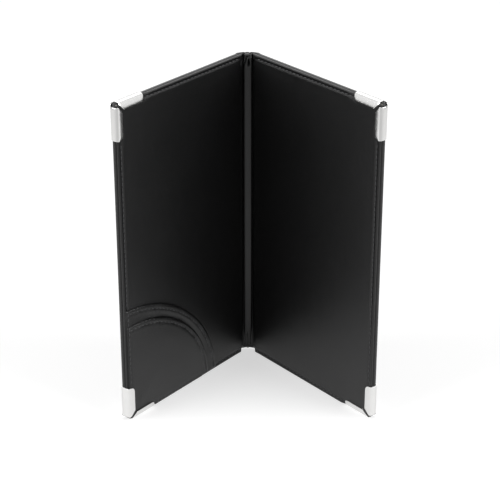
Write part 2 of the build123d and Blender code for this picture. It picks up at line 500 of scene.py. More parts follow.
@dataclass(frozen=True)
class Leatherette:
    """Coated cloth with a leather grain."""

    name: str
    colour: Colour = (0.0032, 0.0032, 0.0034)
    valley: Colour = (0.0018, 0.0018, 0.0019)
    roughness: tuple[float, float] = (0.33, 0.41)
    grain: float = 1250.0
    depth: float = 0.00006
    softness: float = 0.30
    specular: float = 0.39
    sag: float = 0.0006

    def material(self, effects: Effects) -> bpy.types.Material:
        """The finish as a material."""
        finish = Finish(self.name)
        pebble = finish.effect(effects.pebble, Scale=self.grain, Softness=self.softness)
        wear = finish.effect(effects.wear, Scale=26.0, Streaks=0.35)
        finish.feed(finish.tint(pebble.outputs["Valley"], self.colour, self.valley), "Base Color")
        finish.feed(finish.spread(wear.outputs["Mask"], *self.roughness), "Roughness")
        finish.set(Specular_IOR_Level=self.specular)
        soft = finish.relief(wear.outputs["Mask"], self.sag, 0.25)
        finish.relief(pebble.outputs["Height"], self.depth, 0.8, under=soft)
        return finish.material


@dataclass(frozen=True)
class Plating:
    """Bright nickel over folded sheet."""

    name: str = "polished_nickel"
    colour: Colour = (0.74, 0.737, 0.73)
    worn: Colour = (0.68, 0.677, 0.67)
    roughness: tuple[float, float] = (0.11, 0.18)

    def material(self, effects: Effects) -> bpy.types.Material:
        """The finish as a material."""
        finish = Finish(self.name)
        wear = finish.effect(effects.wear, Scale=120.0, Streaks=0.8)
        finish.feed(finish.tint(wear.outputs["Mask"], self.colour, self.worn), "Base Color")
        finish.feed(finish.spread(wear.outputs["Mask"], *self.roughness), "Roughness")
        finish.set(Metallic=1.0)
        finish.relief(wear.outputs["Mask"], 0.00006, 0.25)
        return finish.material


@dataclass(frozen=True)
class Thread:
    """Spun polyester sewing thread."""

    name: str = "sewing_thread"
    colour: Colour = (0.016, 0.016, 0.017)
    light: Colour = (0.075, 0.075, 0.08)

    def material(self, effects: Effects) -> bpy.types.Material:
        """The finish as a material."""
        finish = Finish(self.name)
        fibres = finish.effect(effects.fibre, Scale=5200.0, Along=0.6)
        finish.feed(finish.tint(fibres.outputs["Height"], self.colour, self.light), "Base Color")
        finish.set(Roughness=0.48, Sheen_Weight=0.15, Sheen_Roughness=0.4)
        finish.relief(fibres.outputs["Height"], 0.00008)
        return finish.material


@dataclass(frozen=True)
class Pressed:
    """Board or card, pressed from grey or buff fibres."""

    name: str
    colour: Colour
    fleck: Colour

    def material(self, effects: Effects) -> bpy.types.Material:
        """The finish as a material."""
        finish = Finish(self.name)
        fibres = finish.effect(effects.fibre, Scale=1500.0, Along=0.3)
        finish.feed(finish.tint(fibres.outputs["Fleck"], self.colour, self.fleck), "Base Color")
        finish.set(Roughness=0.85)
        finish.relief(fibres.outputs["Height"], 0.0001)
        return finish.material


@dataclass(frozen=True)
class Foam:
    """Fine-celled padding foam."""

    name: str = "padding_foam"
    colour: Colour = (0.55, 0.53, 0.48)
    cell: Colour = (0.30, 0.29, 0.26)

    def material(self, effects: Effects) -> bpy.types.Material:
        """The finish as a material."""
        finish = Finish(self.name)
        cells = finish.effect(effects.pebble, Scale=2600.0, Softness=0.2)
        finish.feed(finish.tint(cells.outputs["Valley"], self.colour, self.cell), "Base Color")
        finish.set(Roughness=0.9)
        finish.relief(cells.outputs["Height"], 0.0002)
        return finish.material


@dataclass(frozen=True)
class Palette:
    """Every finish of the cover, made once."""

    cover: bpy.types.Material
    lining: bpy.types.Material
    pocket: bpy.types.Material
    nickel: bpy.types.Material
    thread: bpy.types.Material
    board: bpy.types.Material
    card: bpy.types.Material
    foam: bpy.types.Material

    @classmethod
    def mixed(cls) -> "Palette":
        """Mixes the finishes from the shared effects."""
        effects = Effects()
        return cls(
            cover=Leatherette("cover_leatherette", grain=1150.0, depth=0.00009).material(effects),
            lining=Leatherette("lining_leatherette", grain=1500.0, depth=0.00006).material(effects),
            pocket=Leatherette("pocket_leatherette", colour=(0.0034, 0.0034, 0.0036),
                               grain=1500.0).material(effects),
            nickel=Plating().material(effects),
            thread=Thread().material(effects),
            board=Pressed("grey_board", (0.21, 0.205, 0.195), (0.34, 0.33, 0.31)).material(effects),
            card=Pressed("lining_card", (0.52, 0.50, 0.45), (0.40, 0.38, 0.33)).material(effects),
            foam=Foam().material(effects),
        )


# Rows of stitches


@dataclass(frozen=True)
class Needle:
    """One stitch of a row: its middle, and the direction that it runs in, in the panel's axes."""

    u: float
    z: float
    heading: float


def stitch_count(length: float) -> int:
    """How many stitches a straight row of a length holds."""
    return int((length - SIZES.stitch_length) // SIZES.stitch_pitch) + 1


def straight_row(start: tuple[float, float], end: tuple[float, float]) -> list[Needle]:
    """Stitches spaced evenly about the middle of a straight row.

    Args:
        start: The row's first end, as u and z.
        end: Its other end.

    Returns:
        The stitches in order.
    """
    length = math.dist(start, end)
    count = stitch_count(length)
    lead = (length - (count - 1) * SIZES.stitch_pitch) / 2
    heading = math.atan2(end[1] - start[1], end[0] - start[0])
    return [Needle(start[0] + (lead + k * SIZES.stitch_pitch) * math.cos(heading),
                   start[1] + (lead + k * SIZES.stitch_pitch) * math.sin(heading), heading)
            for k in range(count)]


@dataclass(frozen=True)
class EdgeSeam:
    """The three rows sewn round a panel, just inside its edges and between the metal corners."""

    near: float = SIZES.fold_gutter + SIZES.end_gap
    far: float = SIZES.length - SIZES.corner_leg - SIZES.end_gap
    foot: float = SIZES.low + SIZES.corner_leg + SIZES.end_gap
    head: float = SIZES.high - SIZES.corner_leg - SIZES.end_gap
    fade: float = 2.0
    groove: float = 0.48
    groove_width: float = 0.85
    hole: float = 0.38
    swell: float = 0.05
    outer_welt: tuple[float, float] = (1.1, 0.8)
    inner_welt: tuple[float, float] = (4.4, 1.2)

    def rows(self) -> list[list[Needle]]:
        """The bottom, free-edge and top row."""
        low, high = SIZES.low + SIZES.edge_inset, SIZES.high - SIZES.edge_inset
        column = SIZES.length - SIZES.edge_inset
        return [straight_row((self.near, low), (self.far, low)),
                straight_row((column, self.foot), (column, self.head)),
                straight_row((self.near, high), (self.far, high))]

    def sink(self, u: Array, z: Array) -> Array:
        """How deep the sewing draws the surface in, in millimetres, with a pucker at each needle hole.

        Args:
            u: Distances from the fold line.
            z: Heights.

        Returns:
            Depth below the flat face; below zero where it swells between the seam and the edge.
        """
        depth = np.zeros(np.broadcast(u, z).shape)
        for inset, along, start, end in ((z - SIZES.low, u, self.near, self.far),
                                         (SIZES.high - z, u, self.near, self.far),
                                         (SIZES.length - u, z, self.foot, self.head)):
            begun = smooth((along - start + self.fade) / self.fade)
            reach = begun * smooth((end + self.fade - along) / self.fade)
            phase = np.cos(math.tau * (along - (start + end) / 2) / SIZES.stitch_pitch)
            hole = 0.5 - 0.5 * phase * (1 if stitch_count(end - start) % 2 else -1)
            trough = bump(inset - SIZES.edge_inset, self.groove_width) * (1 - self.hole + self.hole * hole)
            welts = [bump(inset - place, width) for place, width in (self.outer_welt, self.inner_welt)]
            welt = (welts[0] + 0.8 * welts[1]) * (0.6 + 0.4 * (1 - hole))
            depth = depth + reach * (self.groove * trough - self.swell * welt)
        return depth


# Metal corners' cross-section, and how it presses what lies under it


@dataclass(frozen=True)
class LipShape:
    """Cross-section of a folded leg: a rounded nose, then a lip that flattens towards its edge."""

    tilt: float
    edge_tilt: float
    lip: float = 4.9
    nose: float = 2.0
    fullness: float = 2.7
    pinch: float = 0.22
    pinch_length: float = 2.6
    nose_lines: int = 12
    lip_lines: int = 7
    bend_line: int = 5

    def half_nose(self, height: float, stop: float) -> tuple[Array, Array]:
        """Half of the nose at the middle of the sheet, from its foremost line on.

        Args:
            height: From the foremost line to the flat face.
            stop: Slope against the face at which it ends, in radians.

        Returns:
            Insets from the foremost line, and heights above it.
        """
        angle = np.linspace(0, math.pi / 2, 400)
        inset = self.nose * (1 - np.cos(angle) ** (2 / self.fullness))
        rise = height * np.sin(angle) ** (2 / self.fullness)
        slope = np.arctan2(np.gradient(rise), np.gradient(inset))
        count = 1 + (int(np.argmax(slope <= stop)) if stop > 0 else len(angle) - 1)
        inset, rise, number = inset[:count], rise[:count], np.arange(count)
        length = np.concatenate([[0], np.cumsum(np.hypot(np.diff(inset), np.diff(rise)))])
        places = np.interp(np.linspace(0, length[-1], self.nose_lines), length, number)
        return np.interp(places, number, inset), np.interp(places, number, rise)

    def trace(self, grip: float) -> tuple[Array, Array, int]:
        """The middle of the sheet across a leg, from the back plate to the lip's edge.

        Args:
            grip: Depth between the plate and the lip.

        Returns:
            Insets from the panel's edge, depths from the plate's inner face, and the place in both
            where the lip's bend begins.
        """
        half = SIZES.metal / 2
        middle = grip / 2
        back, fall = self.half_nose(middle + half, 0.0)
        height = middle + half
        for _ in range(4):
            front, rise = self.half_nose(height, self.tilt)
            crown = (self.lip + half - front[-1]) / (math.sin(self.tilt) - math.sin(self.edge_tilt))
            spring = crown * (math.cos(self.edge_tilt) - math.cos(self.tilt))
            height += middle + half - spring - rise[-1]
        angles = np.linspace(self.tilt, self.edge_tilt, self.lip_lines + 1)[1:]
        lip_inset = self.lip - crown * (np.sin(angles) - math.sin(self.edge_tilt))
        lip_depth = grip + half - crown * (math.cos(self.edge_tilt) - np.cos(angles))
        inset = np.concatenate([back[::-1] - half, front[1:] - half, lip_inset])
        depth = np.concatenate([(middle - fall)[::-1], middle + rise[1:], lip_depth])
        return inset, depth, len(back) + self.bend_line

    def drop(self, inset: Array) -> Array:
        """How far the inner surface of the lip and its bend lies below the lip's edge."""
        grip = SIZES.inner - SIZES.outer
        line, depth, begin = self.trace(grip)
        turn = np.arctan2(np.gradient(depth), np.gradient(line))
        inner_inset = (line + SIZES.metal / 2 * np.sin(turn))[begin:]
        inner_depth = (depth - SIZES.metal / 2 * np.cos(turn))[begin:]
        return np.where(inset > self.lip, 0, grip - np.interp(inset, inner_inset, inner_depth))

    def end_drop(self, along: Array, mitre: Array) -> Array:
        """How far the lip bends down towards its two ends.

        Args:
            along: Distances along the leg from the panel's corner.
            mitre: Distances from the mitre.

        Returns:
            The drop.
        """
        near_end = np.clip((along - SIZES.corner_leg) / self.pinch_length + 1, 0, 1)
        near_mitre = np.clip(1 - mitre / self.pinch_length, 0, 1)
        return self.pinch * (near_end ** 2 + near_mitre ** 2)


SIDE_LEG = LipShape(tilt=math.radians(4.6), edge_tilt=math.radians(1))
LEVEL_LEG = LipShape(tilt=math.radians(22), edge_tilt=math.radians(12))


@dataclass(frozen=True)
class Press:
    """Flattens the layers of a panel where the lips of its metal corners grip them."""

    side: Side
    fade: float = 1.6
    mitre_gap: float = 0.5
    least: float = 0.2

    def stacked(self, level: Level) -> bool:
        """True at the corner that also grips the card pockets."""
        return self.side is Side.LEFT and level is Level.BOTTOM

    def factor(self, u: Array, z: Array) -> Array:
        """Share of their height above the seam that the layers keep at a place."""
        right, low, high = SIZES.length - u, z - SIZES.low, SIZES.high - z
        near = np.minimum(low, high)
        tip = SIZES.tip_radius
        rounded = tip - np.hypot(np.minimum(right - tip, 0), np.minimum(near - tip, 0))
        inset = np.where((right < tip) & (near < tip), rounded, np.minimum(right, near))
        gripped = smooth((SIZES.corner_leg + self.fade - np.maximum(right, near)) / self.fade)
        flaps = 2 * SIZES.flap * self.stacked(Level.BOTTOM)
        nominal = SIZES.inner - SIZES.seam + np.where(low < high, flaps, 0)
        inset = np.maximum(inset, 0)
        drop = np.where(right < near, SIDE_LEG.drop(inset), LEVEL_LEG.drop(inset))
        mitre = np.abs(right - near)
        drop = drop + SIDE_LEG.end_drop(np.maximum(right, near), mitre) * (inset < SIDE_LEG.lip)
        return np.maximum(1 - gripped * smooth(mitre - self.mitre_gap) * drop / nominal, self.least)


# Leatherette skins, with the grid lines round a turned edge

ROLL_LINES = 7
FLANK_LINES = 3
SEAM_LINES = 4
FLANGE_SHARE = 0.995
LINE_STEP = 0.3


def through(knots: Sequence[tuple[float, float]], t: Array) -> tuple[Array, Array]:
    """A smooth curve through a few points, level at its first end.

    Args:
        knots: The points.
        t: Places along it, from 0 to 1.

    Returns:
        The two coordinates at each place.
    """
    line = np.array(knots, float)
    before = line[1] * np.array([-1.0, 1.0])
    after = 2 * line[-1] - line[-2]
    line = np.vstack([before, line, after])
    spans = len(knots) - 1
    place = np.clip(t, 0.0, 1.0) * spans
    k = np.minimum(place.astype(int), spans - 1)
    w = (place - k)[..., None]
    a, b, c, d = line[k], line[k + 1], line[k + 2], line[k + 3]
    square, cube = 2 * a - 5 * b + 4 * c - d, 3 * b - a - 3 * c + d
    point = 0.5 * (2 * b + (c - a) * w + square * w ** 2 + cube * w ** 3)
    return point[..., 0], point[..., 1]


@dataclass(frozen=True)
class Course:
    """A line across the cover: a curve over half the spine, then straight along the panel at one depth."""

    knots: tuple[tuple[float, float], ...]
    depth: float
    stand: Stand

    def at(self, station: Array) -> tuple[Array, Array]:
        """Places along the course.

        Args:
            station: 0 at the middle plane, 1 at the joint with the panel, and then the panel's own u.

        Returns:
            p and q of each place.
        """
        p_panel, q_panel = self.stand.across(station, self.depth)
        p_end, q_end = self.stand.across(np.array(1.0), self.depth)
        p_spine, q_spine = through([*self.knots, (float(p_end), float(q_end))], station)
        over_spine = station < 1
        return np.where(over_spine, p_spine, p_panel), np.where(over_spine, q_spine, q_panel)


@dataclass(frozen=True)
class Turn:
    """The way a skin turns over the edge: pairs of inset from the edge and share of its depth."""

    insets: tuple[float, ...]
    shares: tuple[float, ...]

    @classmethod
    def rolled(cls, depth: float, roll: float, bulge: float, seam: tuple[float, float], flange: float,
               under: float) -> "Turn":
        """A rolled edge, a flank, a rounded seam and a hidden return.

        Args:
            depth: From the face to the seam, in millimetres.
            roll: Radius of the roll beside the face.
            bulge: How far the flank stands out at its middle.
            seam: How far the skin draws in towards the seam, and over what depth.
            flange: Width of the return below the seam.
            under: Share of the depth at which the skin's underside lies.

        Returns:
            The turn.
        """
        insets, shares = [], []
        for step in range(1, ROLL_LINES + 1):
            angle = math.pi / 2 * step / ROLL_LINES
            insets.append(roll * (1 - math.sin(angle)))
            shares.append(roll * (1 - math.cos(angle)) / depth)
        begin, end = roll / depth, 1 - seam[1] / depth
        for step in range(1, FLANK_LINES + 1):
            insets.append(-bulge * math.sin(math.pi * step / FLANK_LINES))
            shares.append(begin + (end - begin) * step / FLANK_LINES)
        for step in range(1, SEAM_LINES + 1):
            angle = math.pi / 2 * step / SEAM_LINES
            insets.append(seam[0] * (1 - math.cos(angle)))
            shares.append(end + (1 - end) * math.sin(angle))
        insets += [flange, flange]
        shares += [FLANGE_SHARE, under]
        return cls(tuple(insets), tuple(shares))


def between(start: float, end: float, spacing: float) -> list[float]:
    """Evenly spaced values after start, up to and with end."""
    count = max(1, round((end - start) / spacing))
    return [start + (end - start) * k / count for k in range(1, count + 1)]


@dataclass(frozen=True)
class Pleat:
    """A fold, dimple or welt in the leatherette: its place, its depth or height, and its half width."""

    place: float
    depth: float
    width: float

    def dip(self, away: Array, spread: Array | float = 0.0) -> Array:
        """Its depth or height at a distance from its middle, with its half width grown by spread."""
        return self.depth * bump(away, self.width + spread)


@dataclass(frozen=True)
class Gather:
    """How the spine's upper and lower ends are drawn up into small scallops, and the pleats beside them."""

    hem: float = 8.4
    valleys: tuple[float, ...] = (-3.1, 2.0)
    valley_width: float = 0.6
    valley_drop: float = 0.60
    head_rise: float = 0.22
    cover_rise: float = 0.10
    foot_rise: float = 0.15
    lining_rise: float = 3.4
    seam_rise: float = 1.45
    scallop: Pleat = Pleat(0.0, 0.8, 0.6)
    side_scallop: float = 0.3
    parting: Pleat = Pleat(0.6, 1.7, 0.16)
    parting_spread: float = 0.55
    parting_end: float = 2.6
    slant: Pleat = Pleat(-3.3, 1.0, 0.36)
    slant_lean: float = 0.42
    slant_end: float = 1.6
    dot: Pleat = Pleat(-0.4, 1.1, 0.55)
    dot_drop: float = 1.9
    dimple: Pleat = Pleat(3.6, 1.0, 0.6)
    dimple_drop: float = 4.6
    crease: Pleat = Pleat(-5.0, 0.5, 0.35)
    crease_end: float = 2.5
    gathered: float = 0.9
    gathered_width: float = 0.8
    slit: Pleat = Pleat(-1.2, 1.3, 0.30)
    slit_spread: float = 0.35
    slit_height: float = 16.0
    foot_draw: float = 1.9
    draw_height: float = 24.0
    hollow_height: float = 75.0
    hem_proud: float = 0.28
    foot_proud: float = 0.22

    def head_lift(self, x: Array, at: Array, inner: bool) -> Array:
        """How much the upper edge stands above the panels' one.

        Args:
            x: Places across the cover, in millimetres.
            at: Stations.
            inner: Whether this is the lining.

        Returns:
            The lift.
        """
        near = smooth((3.0 - at) / 2.0)
        valleys = sum(bump(x - place, self.valley_width) for place in self.valleys)
        return near * (self.head_rise + self.cover_rise * (not inner) - self.valley_drop * valleys)

    def foot_lift(self, x: Array, at: Array, share: Array, inner: bool) -> Array:
        """How much the lower edge stands above the panels' one.

        Args:
            x: Places across the cover, in millimetres.
            at: Stations.
            share: Shares of the skin's depth.
            inner: Whether this is the lining.

        Returns:
            The lift.
        """
        near = smooth((3.3 - at) / 0.5)
        if inner:
            return near * self.lining_rise
        scallops = self.scallop.dip(x - self.scallop.place) + self.side_scallop * smooth(np.abs(x) - 4.0)
        return near * (self.foot_rise + (self.seam_rise - scallops) * np.clip(share, 0, 1))

    def hem_pleats(self, x: Array, z: Array) -> Array:
        """Depth of the pleats in the turned hem at the upper end."""
        base, down = SIZES.high - self.hem, SIZES.high - z
        on_hem = smooth((z - base) / 0.35)
        taper = np.clip((down - self.parting_end) / (self.hem - self.parting_end), 0, 1)
        parting = self.parting.dip(x - self.parting.place, self.parting_spread * taper) * smooth(taper * 4)
        leaning = x - (self.slant.place + self.slant_lean * (z - base))
        slant = self.slant.dip(leaning) * smooth((down - self.slant_end) / 1.2)
        crease = self.crease.dip(x - self.crease.place) * smooth((down - self.crease_end) / 2.0)
        dot = self.dot.dip(np.hypot(x - self.dot.place, down - self.dot_drop))
        dimple = self.dimple.dip(np.hypot(x - self.dimple.place, (down - self.dimple_drop) * 0.8))
        valleys = sum(bump(x - place, self.gathered_width) for place in self.valleys)
        gathered = self.gathered * valleys * smooth((self.parting_end - down) / 2.0)
        return on_hem * (parting + slant + crease - self.hem_proud) + dot + dimple + gathered

    def foot_pleats(self, x: Array, z: Array) -> Array:
        """Depth of the slit and the hollow at the lower end, where the lining is drawn in."""
        up = z - SIZES.low
        foot = smooth((self.draw_height - up) / 16.0) + 0.35 * smooth((self.hollow_height - up) / 55.0)
        slit = self.slit.dip(x - self.slit.place, self.slit_spread * foot)
        slit = slit * smooth((self.slit_height - up) / 8.0)
        across = (1 - 0.3 * smooth((np.abs(x) - 2.0) / 2.0)) * smooth((4.2 - np.abs(x)) / 0.9)
        return slit + self.foot_draw * foot * across - self.foot_proud * smooth((4.5 - up) / 0.5)

    def pleats(self, x: Array, z: Array) -> Array:
        """Depth of the pleats below the smooth band, in millimetres."""
        return self.hem_pleats(x, z) + self.foot_pleats(x, z)


@dataclass
class Skin:
    """One leatherette skin of a panel with its half of the spine, wrapped round three edges."""

    name: str
    stand: Stand
    face: Course
    seam: Course
    turn: Turn
    roll: float
    spine_under: float
    crown: Callable[[Array, Array], Array]
    pleats: Callable[[Array, Array], Array] | None
    gather: Gather
    inner: bool
    seam_rows: EdgeSeam = field(default_factory=EdgeSeam)
    press: Press | None = None
    spine_steps: int = 36
    head_reach: float = 9.0
    foot_reach: float = 7.0
    fold_lines: tuple[float, ...] = (1.5, 2.0, 2.5, 2.75, 3.0, 3.25, 3.6)
    edge_lines: tuple[float, ...] = (14.0, 11.0, 9.6, 9.2, 8.9, 8.6, 7.8, 7.0, 6.2, 5.4, 4.7, 4.1, 3.6, 3.2,
                                     2.85, 2.6, 2.35, 2.1, 1.75, 1.4, 1.1)

    def edge_marks(self) -> list[float]:
        """Insets of the lines that run beside an edge, from the inside out."""
        return [line for line in self.edge_lines if line > self.roll + 0.1] + [self.roll]

    def lines(self, start: float, sewn: tuple[float, float], end: float) -> list[float]:
        """Grid lines from start to the straight edge at end, two to a stitch where it is sewn."""
        half = SIZES.stitch_pitch / 2
        middle = (sewn[0] + sewn[1]) / 2
        count = int((sewn[1] - sewn[0]) / 2 // half)
        fine = [middle + half * k for k in range(-count, count + 1)]
        inside = end - self.edge_marks()[0]
        fold = list(self.fold_lines) if start < 2 else []
        lines = [*fold, *[line for line in fine if not fold or line > fold[-1] + 0.4]]
        if lines[-1] < inside - half:
            lines += between(lines[-1], inside, 3.5)
        else:
            lines = [line for line in lines if line < inside - 0.5] + [inside]
        return lines + [end - mark for mark in self.edge_marks()[1:]]

    def wrap(self) -> list[float]:
        """How far past the roll's start each line of the turn lies, on the flat pattern."""
        return [LINE_STEP * (k + 1) for k in range(len(self.turn.insets))]

    def points(self) -> tuple[Array, int, int, Array]:
        """Works out the grid.

        Returns:
            The places in metres, the numbers of rows and columns, and the columns' stations.
        """
        size, rows = SIZES, self.seam_rows
        radius = size.tip_radius
        across = self.lines(1.0, (rows.near, rows.far), size.length)
        station = np.array([*np.linspace(0, 1, self.spine_steps), *across])
        middle = (size.low + size.high) / 2
        upper = self.lines(middle, (2 * middle - rows.head, rows.head), size.high)
        upper = [line for line in upper if line > middle + 0.5]
        up = np.array([*[2 * middle - line for line in reversed(upper)], middle, *upper])
        wrap = np.array(self.wrap())
        column = np.concatenate([station, size.length - self.roll + wrap])
        row = np.concatenate([(size.low + self.roll - wrap)[::-1], up, size.high - self.roll + wrap])
        c, z = np.meshgrid(column, row)
        past_edge = np.maximum(0, c - (size.length - radius))
        past_top = np.maximum(0, z - (size.high - radius))
        past_foot = np.maximum(0, size.low + radius - z)
        past = np.maximum(past_top, past_foot)
        reach = np.maximum(past_edge, past)
        whole = np.hypot(past_edge, past)
        whole[whole == 0] = 1.0
        known = np.concatenate([[0.0, radius - self.roll], radius - self.roll + wrap])
        spread = np.concatenate([[0.0, radius - self.roll], radius - np.array(self.turn.insets)])
        share = np.concatenate([[0.0, 0.0], self.turn.shares])
        out = np.interp(reach, known, spread)
        f = np.interp(reach, known, share)
        at = np.minimum(c, size.length - radius) + out * past_edge / whole
        height = np.clip(z, size.low + radius, size.high - radius)
        height = height + out * (past_top - past_foot) / whole
        p_face, q_face = self.face.at(at)
        p_seam, q_seam = self.seam.at(at)
        span = np.hypot(p_seam - p_face, q_seam - q_face)
        hidden = reach >= known[-1] - 0.01
        spine_share = smooth((at - 0.9) / 3.0)
        f = np.where(hidden, self.spine_under + (f - self.spine_under) * spine_share, f)
        flat = smooth((radius + 0.3 - reach) / 1.5 + (at < 1) * 1.0) * (1 - hidden)
        sunk = rows.sink(at, height) * (at > 1) * (f < 0.02)
        x = self.stand.side.value * p_face
        if self.pleats is not None:
            on_spine = smooth((size.fold_spacing / 2 - p_face) / 1.5)
            sunk = sunk + self.pleats(x, height) * on_spine * (1 - smooth((f - 0.3) / 0.5))
        sunk = sunk - self.crown(at, height) * (f < 0.4) * np.maximum(flat, 0.0)
        f = f + sunk / span
        if self.press is not None:
            f = 1 - (1 - f) * self.press.factor(at, height)
        p = p_face + f * (p_seam - p_face)
        q = q_face + f * (q_seam - q_face)
        top_share = smooth((height - (size.high - self.head_reach)) / (self.head_reach - 1))
        foot_share = smooth((size.low + self.foot_reach - height) / (self.foot_reach - 1))
        height = height + self.gather.head_lift(x, at, self.inner) * top_share
        height = height + self.gather.foot_lift(x, at, f, self.inner) * foot_share
        return self.stand.world(p, q, height), len(row), len(column), column

    def build(self, material: bpy.types.Material) -> bpy.types.Object:
        """Makes the closed mesh: the grid, its underside and the cut at the middle plane."""
        points, rows, columns, column = self.points()
        faces: list[Sequence[int]] = list(grid_faces(rows, columns))
        last = (rows - 1) * columns
        straight = int(np.searchsorted(column, 6.0))
        for k in range(straight):
            faces.append((k, last + k, last + k + 1, k + 1))
        lower = list(range(straight, columns))
        outer = [row * columns + columns - 1 for row in range(1, rows - 1)]
        upper = [last + k for k in range(columns - 1, straight - 1, -1)]
        faces.append([*lower, *outer, *upper])
        faces.append([row * columns for row in range(rows)])
        return make_object(self.name, points, faces, material)


# Thread


@dataclass(frozen=True)
class Strand:
    """Shape of one stitch: a short arched grain of thread that dives in at both ends."""

    radius: float = 0.32
    rise: float = 0.12
    dive: float = 0.50
    slant: float = math.radians(9)
    thinning: float = 0.45
    flattening: float = 0.8
    twist: float = 0.9
    sides: int = 8
    rings: int = 9

    def template(self) -> tuple[Array, list[Sequence[int]]]:
        """The grain along its own axis.

        Returns:
            Its points as along, across and up, and its faces.
        """
        half = SIZES.stitch_length / 2
        points = []
        for t in np.linspace(-1, 1, self.rings):
            up = self.rise - (self.rise + self.dive) * abs(t) ** 4
            thick = self.radius * (1 - self.thinning * abs(t) ** 5)
            for k in range(self.sides):
                turn = math.tau * (k + 0.5) / self.sides + self.twist * t
                rise = thick * math.sin(turn) * self.flattening
                points.append((t * half, thick * math.cos(turn), up + rise))
        faces: list[Sequence[int]] = []
        for ring in range(self.rings - 1):
            for k in range(self.sides):
                n = (k + 1) % self.sides
                a, b = ring * self.sides, (ring + 1) * self.sides
                faces.append((a + k, a + n, b + n, b + k))
        faces.append(tuple(range(self.sides)))
        faces.append(tuple((self.rings - 1) * self.sides + k for k in range(self.sides)))
        return np.array(points), faces

    def sew(self, name: str, needles: Sequence[Needle], stand: Stand, level: Callable[[Needle], float],
            face: Face, material: bpy.types.Material) -> bpy.types.Object:
        """Makes one piece of all the stitches of some rows.

        Args:
            name: The piece's name.
            needles: Where the stitches are.
            stand: The panel's stand.
            level: Depth of the surface under a stitch.
            face: The side of the panel that they show on.
            material: The thread.

        Returns:
            The object.
        """
        grain, template = self.template()
        outward = 1.0 if face is Face.INNER else -1.0
        points, faces = [], []
        for k, needle in enumerate(needles):
            heading = needle.heading + self.slant * outward
            along, across, up = grain.T
            u = needle.u + along * math.cos(heading) - across * math.sin(heading)
            z = needle.z + along * math.sin(heading) + across * math.cos(heading)
            points.append(stand.place(u, level(needle) + outward * up, z))
            faces += [[corner + k * len(grain) for corner in ring] for ring in template]
        return make_object(name, np.vstack(points), faces, material)


# Card pockets


